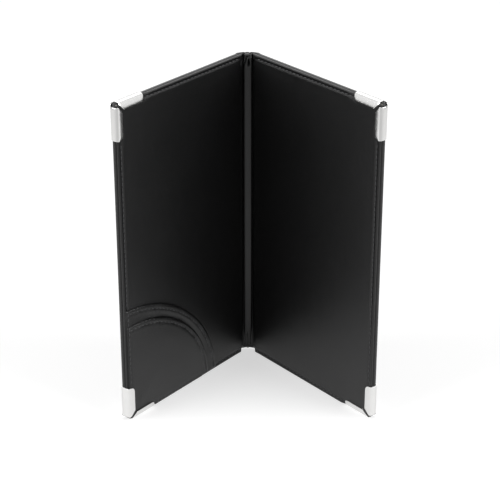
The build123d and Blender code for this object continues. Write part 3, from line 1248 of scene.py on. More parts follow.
@dataclass(frozen=True)
class Flap:
    """A quarter-round card pocket on the lower outer corner of the left panel.

    The mouth stands off by its gape, which dies away over its reach. Both flaps together stay lower
    than the gap between the linings of the closed cover, 3.9 mm.
    """

    name: str
    width: float
    height: float
    radius: float
    below: "Flap | None" = None
    inset: float = 0.9
    mouth: float = 0.15
    gape: float = 1.6
    reach: float = 26.0
    bulge: float = 0.30
    hem_roll: float = 0.42
    groove: float = 0.42
    groove_width: float = 0.5
    hem_width: float = 6.0
    hem_rise: float = 0.14
    skived: float = 0.15
    edge_share: float = 0.5
    welt: Pleat = Pleat(1.3, 0.12, 0.8)
    pillow_reach: float = 30.0
    flat_reach: float = 14.0
    lift: float = 0.01
    rim: float = 0.004
    curved_lines: tuple[tuple[float, float], ...] = (
        (0.06, 1.3), (0.16, 1.3), (0.32, 1.3), (0.7, 1.4), (1.4, 1.5), (2.0, 1.5), (2.5, 1.5), (3.0, 1.8),
        (3.5, 1.5), (4.0, 1.5), (4.8, 2.0), (5.9, 2.2), (6.6, 2.4))
    straight_lines: tuple[float, ...] = (0.06, 0.16, 0.32, 0.6, 0.9, 1.2, 1.6, 2.0, 2.4, 3.2)
    line_step: float = 1.8
    field_step: float = 3.2
    arc_points: int = 90
    side_points: int = 52
    foot_points: int = 58
    tip_points: int = 9
    thread_width: float = 0.7
    crossing_gap: float = 0.6

    @property
    def centre(self) -> tuple[float, float]:
        """Centre of the curved edge, as u and z."""
        half_chord = math.hypot(self.width, self.height) / 2
        drop = math.sqrt(self.radius ** 2 - half_chord ** 2)
        return (SIZES.length - (self.width / 2 - drop * self.height / (2 * half_chord)),
                SIZES.low + self.height / 2 - drop * self.width / (2 * half_chord))

    def gaps(self, u: Array, z: Array) -> tuple[Array, Array]:
        """Distances of points to the curved edge and to the nearer straight one."""
        cu, cz = self.centre
        curved = self.radius - np.hypot(u - cu, z - cz)
        right = SIZES.length - self.inset - u
        low = z - SIZES.low - self.inset
        tip = SIZES.tip_radius - self.inset
        corner = tip - np.hypot(np.minimum(right - tip, 0), np.minimum(low - tip, 0))
        inside = np.where((right < tip) & (low < tip), corner, np.minimum(right, low))
        return curved, inside

    def outline(self) -> Array:
        """The flap's edge as points round it, as u and z."""
        cu, cz = self.centre
        right, low = SIZES.length - self.inset, SIZES.low + self.inset
        tip = SIZES.tip_radius - self.inset
        end_u = cu - math.sqrt(self.radius ** 2 - (low - cz) ** 2)
        end_z = cz + math.sqrt(self.radius ** 2 - (right - cu) ** 2)
        first = math.atan2(low - cz, end_u - cu)
        last = math.atan2(end_z - cz, right - cu)
        first = first + math.tau if first < 0 else first
        arc = [(cu + self.radius * math.cos(a), cz + self.radius * math.sin(a))
               for a in np.linspace(first, last, self.arc_points)]
        side = [(right, value) for value in np.linspace(end_z, low + tip, self.side_points)[1:]]
        corner = [(right - tip + tip * math.cos(a), low + tip + tip * math.sin(a))
                  for a in np.linspace(0, -math.pi / 2, self.tip_points)[1:]]
        foot = [(value, low) for value in np.linspace(right - tip, end_u, self.foot_points)[1:-1]]
        return np.array(arc + side + corner + foot)

    def spots(self) -> Array:
        """Points of the flap's surface: lines beside its edges, then a coarser field."""
        cu, cz = self.centre
        chosen = []

        def choose(u: Array, z: Array, from_curve: float, from_side: float) -> None:
            """Keeps the points that lie further than this from the curved and the straight edges."""
            curved, inside = self.gaps(u, z)
            keep = (curved > from_curve) & (inside > from_side)
            chosen.append(np.stack([u[keep], z[keep]], axis=1))

        for inset, spacing in self.curved_lines:
            radius = self.radius - inset
            angles = np.linspace(0, math.pi, int(radius * 2.0 / spacing))
            choose(cu + radius * np.cos(angles), cz + radius * np.sin(angles), 0.0,
                   max(0.3, min(inset, 0.9)))
        right, low = SIZES.length - self.inset, SIZES.low + self.inset
        left, top = right - self.width, low + self.height
        past_lines = self.curved_lines[-1][0] + 0.6
        for inset in self.straight_lines:
            up = np.arange(low + inset + 0.6, top, self.line_step)
            back = np.arange(right - inset - 0.6, left, -self.line_step)
            choose(np.full(up.shape, right - inset), up, past_lines, inset - 0.01)
            choose(back, np.full(back.shape, low + inset), past_lines, inset - 0.01)
        grid_u, grid_z = np.meshgrid(np.arange(right - 5, left, -self.field_step),
                                     np.arange(low + 5, top, self.field_step))
        choose(grid_u, grid_z, past_lines + 0.8, self.straight_lines[-1] + 1.2)
        return np.vstack(chosen)

    def along_arc(self, u: Array, z: Array) -> Array:
        """Share of the way round the curved edge, from 0 at the bottom to 1 at the free edge."""
        cu, cz = self.centre
        turn = math.pi - np.arctan2(z - cz, u - cu)
        return np.clip(turn / (math.pi / 2), 0, 1)

    def under(self, u: Array, z: Array) -> Array:
        """Depth of the flap's underside, which stands off what lies below it towards the flap's mouth."""
        curved, inside = self.gaps(u, z)
        base = SIZES.inner if self.below is None else self.below.top(u, z)
        near_mouth = smooth((self.reach - curved) / (self.reach - 4))
        open_mouth = self.gape * np.sin(math.pi * self.along_arc(u, z)) ** 2 * near_mouth
        return base + self.lift + smooth(inside / self.flat_reach) * (self.mouth + open_mouth)

    def top(self, u: Array, z: Array) -> Array:
        """Depth of the flap's outer surface, without its rolled edges."""
        curved, inside = self.gaps(u, z)
        pillow = self.bulge * smooth(inside / self.pillow_reach) * smooth(curved / self.pillow_reach)
        hem = self.hem_rise * smooth((self.hem_width - curved) / 0.7)
        trough = self.groove * bump(curved - SIZES.pocket_inset, self.groove_width) * smooth(inside / 4.0)
        edge = self.edge_share * EdgeSeam().sink(u, z) * smooth((curved - 0.5) / 2.0)
        welt = self.welt.dip(curved - self.welt.place)
        return self.under(u, z) + SIZES.flap - self.skived + pillow + hem + welt - trough - edge

    def build(self, stand: Stand, material: bpy.types.Material) -> bpy.types.Object:
        """Makes the closed flap: an outer and an under surface that meet at the edge."""
        edge, spots = self.outline(), self.spots()
        count = len(edge)
        loop = [(k, (k + 1) % count) for k in range(count)]
        flat, _, triangles, *_ = delaunay_2d_cdt([tuple(row) for row in np.vstack([edge, spots]).tolist()],
                                                loop, [], 1, 1e-4)
        flat = np.array([tuple(point) for point in flat])
        u, z = flat.T
        curved, inside = self.gaps(u, z)
        near = np.minimum(curved, inside)
        under = self.under(u, z)
        rim = near < self.rim
        roll = np.sqrt(np.clip(1 - (1 - np.clip(near / self.hem_roll, 0, 1)) ** 2, 0, 1))
        roll[rim] = 0
        top = under + (self.top(u, z) - under) * roll
        factor = Press(stand.side).factor(u, z)
        under, top = (SIZES.seam + (depth - SIZES.seam) * factor for depth in (under, top))
        upper = stand.place(u, top, z)
        lower = stand.place(u, under, z)
        number = np.arange(len(u)) + len(u)
        number[rim] = np.arange(len(u))[rim]
        full = [list(face) for face in triangles if not all(rim[corner] for corner in face)]
        faces = full + [[int(number[corner]) for corner in reversed(face)] for face in full]
        piece = make_object(self.name, np.vstack([upper, lower]), faces, material, sharp=75)
        with mesh_work(piece.data) as work:
            bmesh.ops.delete(work, geom=[v for v in work.verts if not v.link_faces], context="VERTS")
        return piece

    def covers(self, needle: Needle) -> bool:
        """True where a whole stitch lies on the flap."""
        return math.dist((needle.u, needle.z), self.centre) < self.radius - SIZES.stitch_length / 2

    def misses(self, needle: Needle) -> bool:
        """True where a whole stitch lies clear of the flap."""
        return math.dist((needle.u, needle.z), self.centre) > self.radius + SIZES.stitch_length / 2

    def row(self) -> list[Needle]:
        """The stitches along the curved edge."""
        cu, cz = self.centre
        from_edge, up = SIZES.length - cu, cz - SIZES.low
        radius = self.radius - SIZES.pocket_inset
        clear = SIZES.edge_inset + (self.thread_width + SIZES.stitch_length) / 2 + self.crossing_gap
        first = math.asin((clear - up) / radius)
        last = math.pi / 2 - math.asin((clear - from_edge) / radius)
        count = int((last - first) * radius // SIZES.stitch_pitch)
        angles = [first + (last - first) * k / count for k in range(count + 1)]
        return [Needle(cu - radius * math.cos(a), cz + radius * math.sin(a), math.pi / 2 - a) for a in angles]


@dataclass
class Pockets:
    """The two card pockets of the left panel, the smaller one over the larger."""

    stand: Stand
    rear: Flap = Flap("rear_card_pocket_flap", 92.5, 83.0, 95.0, gape=2.0, reach=9.0)
    front: Flap = Flap("front_card_pocket_flap", 83.0, 70.5, 76.0, below=rear)

    def level(self, needle: Needle) -> float:
        """Depth of the surface under a stitch anywhere on the inner face."""
        u, z = np.array([needle.u]), np.array([needle.z])
        for flap in (self.front, self.rear):
            if flap.covers(needle):
                return float(flap.top(u, z)[0])
        return SIZES.inner - float(EdgeSeam().sink(u, z)[0])

    def clear(self, needle: Needle) -> bool:
        """True where a stitch doesn't lie across the edge of a flap."""
        return all(flap.covers(needle) or flap.misses(needle) for flap in (self.rear, self.front))

    def build(self, palette: Palette) -> None:
        """Makes both flaps and the thread along their curved edges."""
        for flap, node in ((self.rear, "rear"), (self.front, "front")):
            piece = flap.build(self.stand, palette.pocket)
            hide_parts(f"{node}_card_pocket")
            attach(piece, Side.LEFT.body)
            needles = [needle for needle in flap.row() if self.clear(needle)]
            seam = Strand().sew(f"{node}_pocket_thread", needles, self.stand,
                                lambda needle, flap=flap: float(flap.top(np.array([needle.u]),
                                                                         np.array([needle.z]))[0]),
                                Face.INNER, palette.thread)
            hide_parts(f"{node}_pocket_stitching")
            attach(seam, Side.LEFT.body)
            LOG.info("%s pocket: %d faces and %d stitches", node, len(piece.data.polygons), len(needles))


# Metal corners


@dataclass(frozen=True)
class MetalCorner:
    """A corner folded from plated sheet: a triangular back, two rounded walls and two mitred lips."""

    stand: Stand
    level: Level
    press: Press
    leg: float = SIZES.corner_leg
    lip_round: float = 3.3
    top_slot: float = 2.1
    bottom_slot: float = 3.0
    top_open: float = math.radians(17)
    bottom_open: float = math.radians(21)
    lip_open: float = math.radians(22)
    slit_open: float = math.radians(4)
    slit_depth: float = 1.0
    plate_foot: float = 2.2
    tip_proud: float = 0.15
    support_inset: float = 0.45
    pinch_start: float = 0.6
    pinch_fade: float = 3.0
    bevel: float = 0.16
    weld: float = 0.02

    @property
    def name(self) -> str:
        """The name of the CAD node that it stands for."""
        return f"{self.level.value}_{self.stand.side.word}_corner"

    @property
    def grip(self) -> float:
        """Depth between the back plate and the lips."""
        return SIZES.inner - SIZES.outer + (2 * SIZES.flap if self.press.stacked(self.level) else 0)

    @property
    def slot(self) -> float:
        """Gap between the mitred lips; the lower corners leave a wider one, as in the photo."""
        return self.top_slot if self.level is Level.TOP else self.bottom_slot

    @property
    def open_angle(self) -> float:
        """How far each wall reaches round the tip; the upper corners stay more open."""
        return self.top_open if self.level is Level.TOP else self.bottom_open

    def offset(self, inset: float, turn: float) -> tuple[float, float]:
        """A point beside the rounded tip, as distances from the free and from the level edge."""
        radius = SIZES.tip_radius
        return radius - (radius - inset) * math.cos(turn), radius - (radius - inset) * math.sin(turn)

    def column(self, inset: float, on_lip: bool, count: int = 34) -> Array:
        """The points of one line of a leg, from the open tip to the leg's end.

        Args:
            inset: The line's distance from the panel's edge.
            on_lip: Whether the line lies on the lip, and so stops at the mitre and the rounded end.
            count: How many points it has.

        Returns:
            Rows of distances from the free edge and from the level edge.
        """
        radius = SIZES.tip_radius
        turn = self.open_angle
        start = radius
        mitre = self.slot * math.sqrt(0.5)
        if on_lip:
            if inset < radius - mitre:
                share = mitre / ((radius - inset) * math.sqrt(2))
                wider = self.lip_open * float(smooth((inset + 0.1) / 1.5))
                turn = min(turn + wider, math.acos(share) - math.pi / 4)
            else:
                turn = 0.0
                start = inset + mitre
        end = self.leg
        past = inset - (SIDE_LEG.lip - self.lip_round)
        if on_lip and past > 0:
            end -= self.lip_round - math.sqrt(max(self.lip_round ** 2 - past ** 2, 0))
        bent = max(turn, 0.0) * radius
        steps = 0.5 - 0.5 * np.cos(np.linspace(0, math.pi, count))
        steps = 0.35 * steps + 0.65 * np.linspace(0, 1, count)
        points = []
        for step in steps:
            travel = step * (bent + end - start)
            if travel < bent:
                points.append(self.offset(inset, turn - travel / radius))
            else:
                points.append((inset, start + travel - bent))
        return np.array(points)

    def plate_outline(self, first: Array) -> list[tuple[float, float]]:
        """The back plate's edge, from one leg's bend round by the far side to the tip.

        Args:
            first: The points of the leg's bend line, from the tip to the leg's end.

        Returns:
            Points as distances from the free and from the level edge, in order.
        """
        outline = [tuple(point) for point in first.tolist()]
        leg, foot = self.leg, self.plate_foot
        for t in np.linspace(0, 1, 9):
            outline.append((foot + (leg - foot) * t, leg + (foot - leg) * t))
        outline += [(point[1], point[0]) for point in reversed(first.tolist())]
        slit = self.open_angle + self.slit_open
        outline.append(self.offset(self.slit_depth, math.pi / 2 - slit))
        for turn in np.linspace(math.pi / 2 - slit, slit, 9):
            outline.append(self.offset(-self.tip_proud, turn))
        outline.append(self.offset(self.slit_depth, slit))
        return outline

    def build(self, material: bpy.types.Material) -> bpy.types.Object:
        """Folds the sheet, gives it its thickness and eased edges, and sets it on its panel."""
        flat: list[tuple[float, float]] = []
        depth: list[float] = []
        faces: list[Sequence[int]] = []
        for shape, mirrored in ((SIDE_LEG, False), (LEVEL_LEG, True)):
            insets, depths, lip_begin = shape.trace(self.grip)
            columns = [self.column(inset, k >= lip_begin) for k, inset in enumerate(insets)]
            begin = len(flat)
            for k, (column, level) in enumerate(zip(columns, depths + SIZES.outer)):
                share = 0.0
                if k >= lip_begin:
                    share = float(np.clip((insets[k] - self.pinch_start) / self.pinch_fade, 0, 1))
                for a, b in column.tolist():
                    flat.append((b, a) if mirrored else (a, b))
                    depth.append(level - share * float(shape.end_drop(b, b - a)))
            quads = grid_faces(len(columns), len(columns[0]))
            faces += [[corner + begin for corner in quad] for quad in quads]
        outline = self.plate_outline(columns[0])
        loop = [(k, (k + 1) % len(outline)) for k in range(len(outline))]
        support = [(a + self.support_inset, b) for a, b in columns[0][3:-2:2].tolist()]
        support += [(b, a) for a, b in support]
        made, _, triangles, *_ = delaunay_2d_cdt(outline + support, loop, [], 1, 1e-5)
        begin = len(flat)
        flat += [tuple(point) for point in made]
        depth += [depth[0]] * len(made)
        faces += [[corner + begin for corner in face] for face in triangles]
        a, b = np.array(flat).T
        z = SIZES.low + b if self.level is Level.BOTTOM else SIZES.high - b
        points = self.stand.place(SIZES.length - a, np.array(depth), z)
        piece = make_object(self.name + "_plate", points, faces, material)
        with mesh_work(piece.data) as work:
            bmesh.ops.remove_doubles(work, verts=work.verts, dist=self.weld * MM)
            bmesh.ops.recalc_face_normals(work, faces=work.faces)
        thick = piece.modifiers.new("sheet", "SOLIDIFY")
        thick.thickness = SIZES.metal * MM
        thick.offset = 0.0
        thick.use_even_offset = True
        eased = piece.modifiers.new("eased_edges", "BEVEL")
        eased.width = self.bevel * MM
        eased.segments = 2
        eased.limit_method = "ANGLE"
        eased.angle_limit = math.radians(50)
        return piece

    def fit(self, palette: Palette) -> None:
        """Makes the corner and sets it on its panel's body."""
        piece = self.build(palette.nickel)
        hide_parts(self.name)
        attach(piece, self.stand.side.body)
        LOG.info("%s: folded from %d faces", self.name, len(piece.data.polygons))


# Panels


@dataclass
class Panel:
    """One panel: its two skins, its padding and the thread round its edges."""

    side: Side
    palette: Palette
    gather: Gather = field(default_factory=Gather)
    seam: EdgeSeam = field(default_factory=EdgeSeam)
    padding_crown: float = 0.55
    lining_crown: float = 0.10
    lining_roll: float = 0.7
    seam_gap: float = 0.03
    cover_lead: float = 0.8
    lining_way: tuple[float, float] = (0.9, 0.43)
    lining_turn: tuple[float, float] = (2.1, 6.7)
    foam_soft: float = 0.6
    card_soft: float = 0.3
    lip_press: float = 0.75
    press_reach: float = 3.1
    press_end: float = 5.0
    press_fade: float = 3.0
    sheet_step: float = 4.0
    sheet_gap: float = 0.3
    sheet_ease: float = 0.05
    border: float = 6.4
    border_lines: tuple[float, ...] = (1.2, 2.2, 3.4, 4.8)
    spine_band: dict[Side, tuple[tuple[float, float], ...]] = field(default_factory=lambda: {
        Side.LEFT: ((0.0, 4.6), (1.3, 4.55), (2.4, 4.25), (3.0, 3.45),
                    (3.24, 2.5), (3.42, 2.9), (3.6, 3.55)),
        Side.RIGHT: ((0.0, 4.6), (1.3, 4.55), (2.35, 4.25), (2.8, 3.4),
                     (3.05, 2.3), (3.3, 2.75), (3.54, 3.5)),
    })
    spine_back: tuple[tuple[float, float], ...] = (
        (0.0, -1.15), (2.3, -1.08), (4.4, -0.82), (6.2, -0.42), (7.05, 0.02), (7.5, 0.34), (7.95, 0.26))

    def __post_init__(self) -> None:
        """Finds where the panel stands."""
        self.stand = Stand.of(self.side)

    def seam_course(self, gap: float) -> Course:
        """The line where cover and lining meet, run on over the spine's edge.

        Args:
            gap: How far towards the lining it lies.

        Returns:
            The course.
        """
        return Course(((0.0, 1.45 + gap), (1.5, 1.45 + gap), (2.9, 1.5 + gap), (3.9, 2.1 + gap)),
                      SIZES.seam + gap, self.stand)

    def padding(self, at: Array, height: Array) -> Array:
        """How far the padded outer face stands out, nothing near its edges and metal corners."""
        free, level = SIZES.length - at, np.minimum(height - SIZES.low, SIZES.high - height)
        from_edge = smooth((np.minimum(free, level) - 3.0) / 16.0)
        from_tip = smooth((np.hypot(np.maximum(free, 0), level) - SIZES.corner_leg - 2.0) / 20.0)
        return self.padding_crown * from_edge * from_tip * smooth((at - 2.0) / 16.0)

    def lining_relief(self, at: Array, height: Array) -> Array:
        """How far the lining stands out over its soft core."""
        free, level = SIZES.length - at, np.minimum(height - SIZES.low, SIZES.high - height)
        from_edge = smooth((np.minimum(free, level) - 3.0) / 9.0)
        return self.lining_crown * from_edge * smooth((at - 2.0) / 10.0)

    def cover_skin(self) -> Skin:
        """The outer leatherette, from the middle of the spine to the free edge."""
        turn = Turn.rolled(SIZES.seam - SIZES.outer, SIZES.padded_radius, bulge=0.144, seam=(0.95, 0.75),
                           flange=1.7, under=0.25)
        return Skin(name=f"{self.side.word}_cover_leather", stand=self.stand,
                    face=Course(self.spine_back, SIZES.outer, self.stand),
                    seam=self.seam_course(-self.seam_gap), turn=turn, roll=SIZES.padded_radius,
                    spine_under=0.55, crown=self.padding, pleats=None, gather=self.gather, inner=False,
                    seam_rows=self.seam)

    def lining_skin(self) -> Skin:
        """The inner leatherette, from the tuck along the spine to the free edge."""
        turn = Turn.rolled(SIZES.inner - SIZES.seam, self.lining_roll, bulge=0.0, seam=(0.75, 0.5),
                           flange=1.3, under=0.45)
        return Skin(name=f"{self.side.word}_lining_leather", stand=self.stand,
                    face=Course(self.spine_band[self.side], SIZES.inner, self.stand),
                    seam=self.seam_course(self.seam_gap), turn=turn, roll=self.lining_roll,
                    spine_under=0.94, crown=self.lining_relief, pleats=self.gather.pleats,
                    gather=self.gather, inner=True, seam_rows=self.seam, press=Press(self.side))

    def blend(self, piece: bpy.types.Object, direction: tuple[float, float], start: float,
              end: float) -> None:
        """Bakes a skin's placement into its mesh; two places across the fold are worked out but not used.

        Args:
            piece: The skin.
            direction: The way across the fold, as p and q, for those places.
            start: Distance along it of the first of those places.
            end: Distance along it of the second.
        """
        unit = np.array(direction) / math.hypot(*direction)
        places = [self.stand.world(unit[0] * reach, unit[1] * reach, 0.0)[0] for reach in (start, end)]
        self.side.body
        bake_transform(piece)

    def hidden_sheet(self, name: str, inset: float, top: float, bottom: float, soft: float,
                     material: bpy.types.Material) -> bpy.types.Object:
        """A sheet inside the panel, with soft edges, that the metal corners press as they do the lining.

        Args:
            name: The piece's name.
            inset: From the panel's edge to the sheet's.
            top: Depth of one face.
            bottom: Depth of the other face.
            soft: Radius of its edges.
            material: Its finish.

        Returns:
            The object.
        """
        near = SIZES.fold_gutter + SIZES.lining_skin + self.sheet_gap
        far = SIZES.length - inset
        low, high = SIZES.low + inset, SIZES.high - inset
        beside = [0.2, soft, *self.border_lines]
        inward = list(reversed(beside))
        across = np.array([near, near + beside[0],
                           *between(near + beside[0], far - self.border, self.sheet_step),
                           *[far - step for step in inward], far])
        up = np.array([low, *[low + step for step in beside], low + self.border,
                       *between(low + self.border, high - self.border, self.sheet_step),
                       *[high - step for step in inward], high])
        u, z = np.meshgrid(across, up)
        gap = np.minimum(np.minimum(u - near, far - u), np.minimum(z - low, high - z))
        round_off = soft * (1 - np.sqrt(np.clip(1 - (1 - np.clip(gap / soft, 0, 1)) ** 2, 0, 1)))
        lifted, sunk = top + self.sheet_ease + round_off, bottom - self.sheet_ease - round_off
        if bottom > SIZES.seam:
            free, level = SIZES.length - u, np.minimum(z - SIZES.low, SIZES.high - z)
            near_lip = smooth(SIDE_LEG.lip + self.press_reach - np.minimum(free, level))
            from_end = SIZES.corner_leg + self.press_end - np.maximum(free, level)
            in_leg = smooth(from_end / self.press_fade)
            factor = 1 - self.lip_press * near_lip * in_leg
            lifted, sunk = (SIZES.seam + (depth - SIZES.seam) * factor for depth in (lifted, sunk))
        upper = self.stand.place(u, lifted, z)
        lower = self.stand.place(u, sunk, z)
        rows, columns = u.shape
        quads = grid_faces(rows, columns)
        faces = [list(quad) for quad in quads]
        faces += [[corner + rows * columns for corner in reversed(quad)] for quad in quads]
        ring = [*range(columns), *[r * columns + columns - 1 for r in range(1, rows)],
                *[(rows - 1) * columns + k for k in range(columns - 2, -1, -1)],
                *[r * columns for r in range(rows - 2, 0, -1)]]
        for a, b in zip(ring, ring[1:] + ring[:1]):
            faces.append([a, b, b + rows * columns, a + rows * columns])
        return make_object(name, np.vstack([upper, lower]), faces, material)

    def edge_threads(self, pockets: Pockets | None) -> None:
        """Sews the rows round the edges, on the inner face and on the outer one."""
        needles = [needle for row in self.seam.rows() for needle in row]
        if pockets is None:
            shown = needles
            level = self.lining_level
        else:
            shown = [needle for needle in needles if pockets.clear(needle)]
            level = pockets.level
        inner = Strand().sew(f"{self.side.word}_edge_thread", shown, self.stand, level, Face.INNER,
                             self.palette.thread)
        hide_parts(f"{self.side.word}_edge_stitching")
        outer = Strand().sew(f"{self.side.word}_back_thread", needles, self.stand, self.cover_level,
                             Face.OUTER, self.palette.thread)
        for piece in (inner, outer):
            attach(piece, self.side.body)
        LOG.info("%s panel: %d stitches inside, %d outside", self.side.word, len(shown), len(needles))

    def lining_level(self, needle: Needle) -> float:
        """Depth of the lining's surface under a stitch."""
        return SIZES.inner - float(self.seam.sink(np.array([needle.u]), np.array([needle.z]))[0])

    def cover_level(self, needle: Needle) -> float:
        """Depth of the outer cover's surface under a stitch."""
        return SIZES.outer + float(self.seam.sink(np.array([needle.u]), np.array([needle.z]))[0])

    def build(self) -> None:
        """Makes the panel's soft pieces and dresses its boards."""
        word = self.side.word
        cover = self.cover_skin().build(self.palette.cover)
        along = (math.sin(self.stand.half_angle), math.cos(self.stand.half_angle))
        zero = SIZES.fold_spacing / 2 * along[0]
        self.blend(cover, along, zero - self.cover_lead, zero + SIZES.fold_gutter)
        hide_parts(f"{word}_outer_cover", *(["spine_outer_cover"] if self.side is Side.LEFT else []))
        lining = self.lining_skin().build(self.palette.lining)
        self.blend(lining, self.lining_way, *self.lining_turn)
        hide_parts(f"{word}_lining", *(["spine_lining"] if self.side is Side.LEFT else []))
        foam_top = SIZES.outer + SIZES.cover_skin
        foam = self.hidden_sheet(f"{word}_foam", SIZES.cover_skin + self.foam_soft, foam_top,
                                 foam_top + SIZES.foam, self.foam_soft, self.palette.foam)
        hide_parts(f"{word}_foam_pad")
        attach(foam, self.side.body)
        card_top = SIZES.inner - SIZES.lining_skin
        card = self.hidden_sheet(f"{word}_card", SIZES.card, card_top - SIZES.card, card_top,
                                 self.card_soft, self.palette.card)
        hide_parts(f"{word}_lining_card")
        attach(card, self.side.body)
        dress_node(f"{word}_board", self.palette.board)
        pockets = Pockets(self.stand) if self.side is Side.LEFT else None
        if pockets is not None:
            pockets.build(self.palette)
        self.edge_threads(pockets)
        LOG.info("%s panel: cover %d faces, lining %d faces", word, len(cover.data.polygons),
                 len(lining.data.polygons))
        for level in Level:
            MetalCorner(self.stand, level, Press(self.side)).fit(self.palette)


def dress_node(name: str, material: bpy.types.Material) -> None:
    """Gives a CAD node that stays in view its finish and soft shading."""
    node = frame["nodes"][name]
    node.data.materials.clear()
    node.data.materials.append(material)
    node.data.shade_smooth()
    node.data.set_sharp_from_angle(angle=math.radians(35))
    LOG.info("%s: dressed", name)


def spine_board(material: bpy.types.Material, foot: float = 4.4) -> None:
    """The stiffener of the spine, cut short at the foot where the skins are drawn up.

    Args:
        material: Its finish.
        foot: Height of its lower end, in millimetres.
    """
    node = frame["nodes"]["spine_stiffener"]
    points = np.array([tuple(node.matrix_world @ vertex.co) for vertex in node.data.vertices])
    points[:, 2] = np.where(points[:, 2] < foot * MM / 2, foot * MM, points[:, 2])
    faces = [tuple(face.vertices) for face in node.data.polygons]
    piece = make_object("spine_board", points, faces, material, sharp=35)
    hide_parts("spine_stiffener")
    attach(piece, "spine")
    LOG.info("spine board: %d faces", len(faces))


# Studio


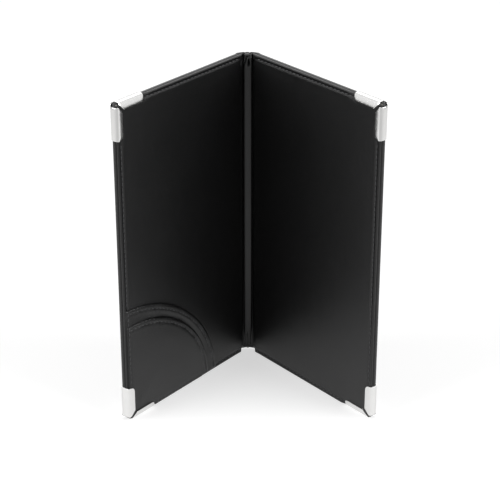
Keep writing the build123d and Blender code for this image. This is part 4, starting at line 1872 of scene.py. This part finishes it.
@dataclass
class Studio:
    """A pale floor, soft lamps and the camera at the photograph's angle."""

    camera_height: float = 0.5744
    camera_back: float = 0.9835
    camera_across: float = -0.008
    pan_right: float = math.radians(0.525)
    tilt_down: float = math.radians(25.53)
    focal: float = 115.4
    sensor: float = 36.0
    floor_size: float = 3.0
    floor_glow: float = 0.595
    glow_far: float = 0.3
    pool_squeeze: float = 1.8
    pool_inner: float = 0.33
    pool_outer: float = 0.95
    floor_colour: Colour = (0.53, 0.53, 0.53)
    room_light: float = 0.16
    side_lamp: tuple[float, float, float] = (1.35, -0.55, 1.0)
    side_power: float = 22.0
    back_lamp: tuple[float, float, float] = (0.0, 1.3, 1.4)
    back_power: float = 9.0
    aim_height: float = 0.11

    def camera(self) -> None:
        """Sets the camera."""
        data = bpy.data.cameras.new("camera")
        data.lens = self.focal
        data.sensor_width = self.sensor
        data.clip_start = 0.01
        data.clip_end = 20.0
        camera = bpy.data.objects.new("camera", data)
        camera.location = (self.camera_across, -self.camera_back, self.camera_height)
        camera.rotation_euler = (math.pi / 2 - self.tilt_down, 0.0, -self.pan_right)
        bpy.context.scene.collection.objects.link(camera)
        bpy.context.scene.camera = camera

    def room(self) -> None:
        """Lights the room evenly, white where the camera or a reflection looks at it."""
        world = bpy.data.worlds.new("room")
        world.use_nodes = True
        tree = world.node_tree
        soft = tree.nodes["Background"]
        soft.inputs["Color"].default_value = (1.0, 1.0, 1.0, 1.0)
        soft.inputs["Strength"].default_value = self.room_light
        white = add_node(tree, "ShaderNodeBackground")
        white.inputs["Color"].default_value = (1.0, 1.0, 1.0, 1.0)
        white.inputs["Strength"].default_value = 1.0
        seen = ray_mask(tree, "Is Camera Ray", "Is Glossy Ray", "Is Transmission Ray")
        mix = add_node(tree, "ShaderNodeMixShader")
        tree.links.new(seen, mix.inputs["Fac"])
        tree.links.new(soft.outputs[0], mix.inputs[1])
        tree.links.new(white.outputs[0], mix.inputs[2])
        tree.links.new(mix.outputs[0], tree.nodes["World Output"].inputs["Surface"])
        bpy.context.scene.world = world

    def pool(self, tree: bpy.types.NodeTree) -> bpy.types.NodeSocket:
        """The pool of light round the cover: full beside and behind it, weaker to the sides and in front."""
        parts = add_node(tree, "ShaderNodeSeparateXYZ")
        tree.links.new(add_node(tree, "ShaderNodeTexCoord").outputs["Object"], parts.inputs[0])
        front = math_node(tree, "MINIMUM", parts.outputs["Y"], 0.0)
        flat = add_node(tree, "ShaderNodeCombineXYZ")
        tree.links.new(parts.outputs["X"], flat.inputs["X"])
        tree.links.new(math_node(tree, "MULTIPLY", front, self.pool_squeeze), flat.inputs["Y"])
        away = add_node(tree, "ShaderNodeVectorMath", operation="LENGTH")
        tree.links.new(flat.outputs[0], away.inputs[0])
        level = add_node(tree, "ShaderNodeMapRange", interpolation_type="SMOOTHSTEP")
        tree.links.new(away.outputs["Value"], level.inputs["Value"])
        level.inputs["From Min"].default_value = self.pool_inner
        level.inputs["From Max"].default_value = self.pool_outer
        level.inputs["To Min"].default_value = self.floor_glow
        level.inputs["To Max"].default_value = self.glow_far * self.floor_glow
        return level.outputs["Result"]

    def floor(self) -> None:
        """Lays the floor, which glows faintly for the camera so that only the shadow shows."""
        half = self.floor_size
        corners = [(-half, -half, 0.0), (half, -half, 0.0), (half, half, 0.0), (-half, half, 0.0)]
        material = bpy.data.materials.new("pale_floor")
        material.use_nodes = True
        tree = material.node_tree
        shader = tree.nodes["Principled BSDF"]
        shader.inputs["Base Color"].default_value = (*self.floor_colour, 1.0)
        shader.inputs["Roughness"].default_value = 0.9
        shader.inputs["Specular IOR Level"].default_value = 0.1
        glow = add_node(tree, "ShaderNodeEmission")
        tree.links.new(self.pool(tree), glow.inputs["Strength"])
        both = add_node(tree, "ShaderNodeAddShader")
        tree.links.new(shader.outputs[0], both.inputs[0])
        tree.links.new(glow.outputs[0], both.inputs[1])
        mix = add_node(tree, "ShaderNodeMixShader")
        tree.links.new(ray_mask(tree, "Is Camera Ray", "Is Glossy Ray"), mix.inputs["Fac"])
        tree.links.new(shader.outputs[0], mix.inputs[1])
        tree.links.new(both.outputs[0], mix.inputs[2])
        tree.links.new(mix.outputs[0], tree.nodes["Material Output"].inputs["Surface"])
        mesh = bpy.data.meshes.new("floor")
        mesh.from_pydata(corners, [], [(0, 1, 2, 3)])
        mesh.materials.append(material)
        ground = bpy.data.objects.new("floor", mesh)
        bpy.context.scene.collection.objects.link(ground)

    def lamp(self, name: str, place: tuple[float, float, float], size: float, power: float) -> None:
        """Hangs a large soft lamp that looks at the cover's middle.

        Args:
            name: The lamp's name.
            place: Where it hangs, in metres.
            size: Length of its side.
            power: Its power in watts.
        """
        data = bpy.data.lights.new(name, "AREA")
        data.shape = "SQUARE"
        data.size = size
        data.energy = power
        lamp = bpy.data.objects.new(name, data)
        lamp.location = place
        aim = np.array([0.0, 0.0, self.aim_height]) - np.array(place)
        yaw = math.atan2(aim[1], aim[0]) - math.pi / 2
        pitch = math.atan2(aim[2], math.hypot(aim[0], aim[1]))
        lamp.rotation_euler = (math.pi / 2 + pitch, 0.0, yaw)
        bpy.context.scene.collection.objects.link(lamp)

    def build(self) -> None:
        """Sets up the whole studio."""
        self.camera()
        self.room()
        self.floor()
        across, back, up = self.side_lamp
        for side in Side:
            self.lamp(f"{side.word}_lamp", (side.value * across, back, up), 1.1, self.side_power)
        self.lamp("back_lamp", self.back_lamp, 1.4, self.back_power)
        bpy.context.scene.view_settings.view_transform = "Standard"
        LOG.info("studio: camera, floor, room and three lamps")


def main() -> None:
    """Builds the whole cover, piece by piece, and the studio round it."""
    logging.basicConfig(level=logging.INFO, format="%(name)s: %(message)s")
    palette = Palette.mixed()
    spine_board(palette.board)
    for side in Side:
        Panel(side, palette).build()
    Studio().build()


if __name__ == "__main__":
    main()
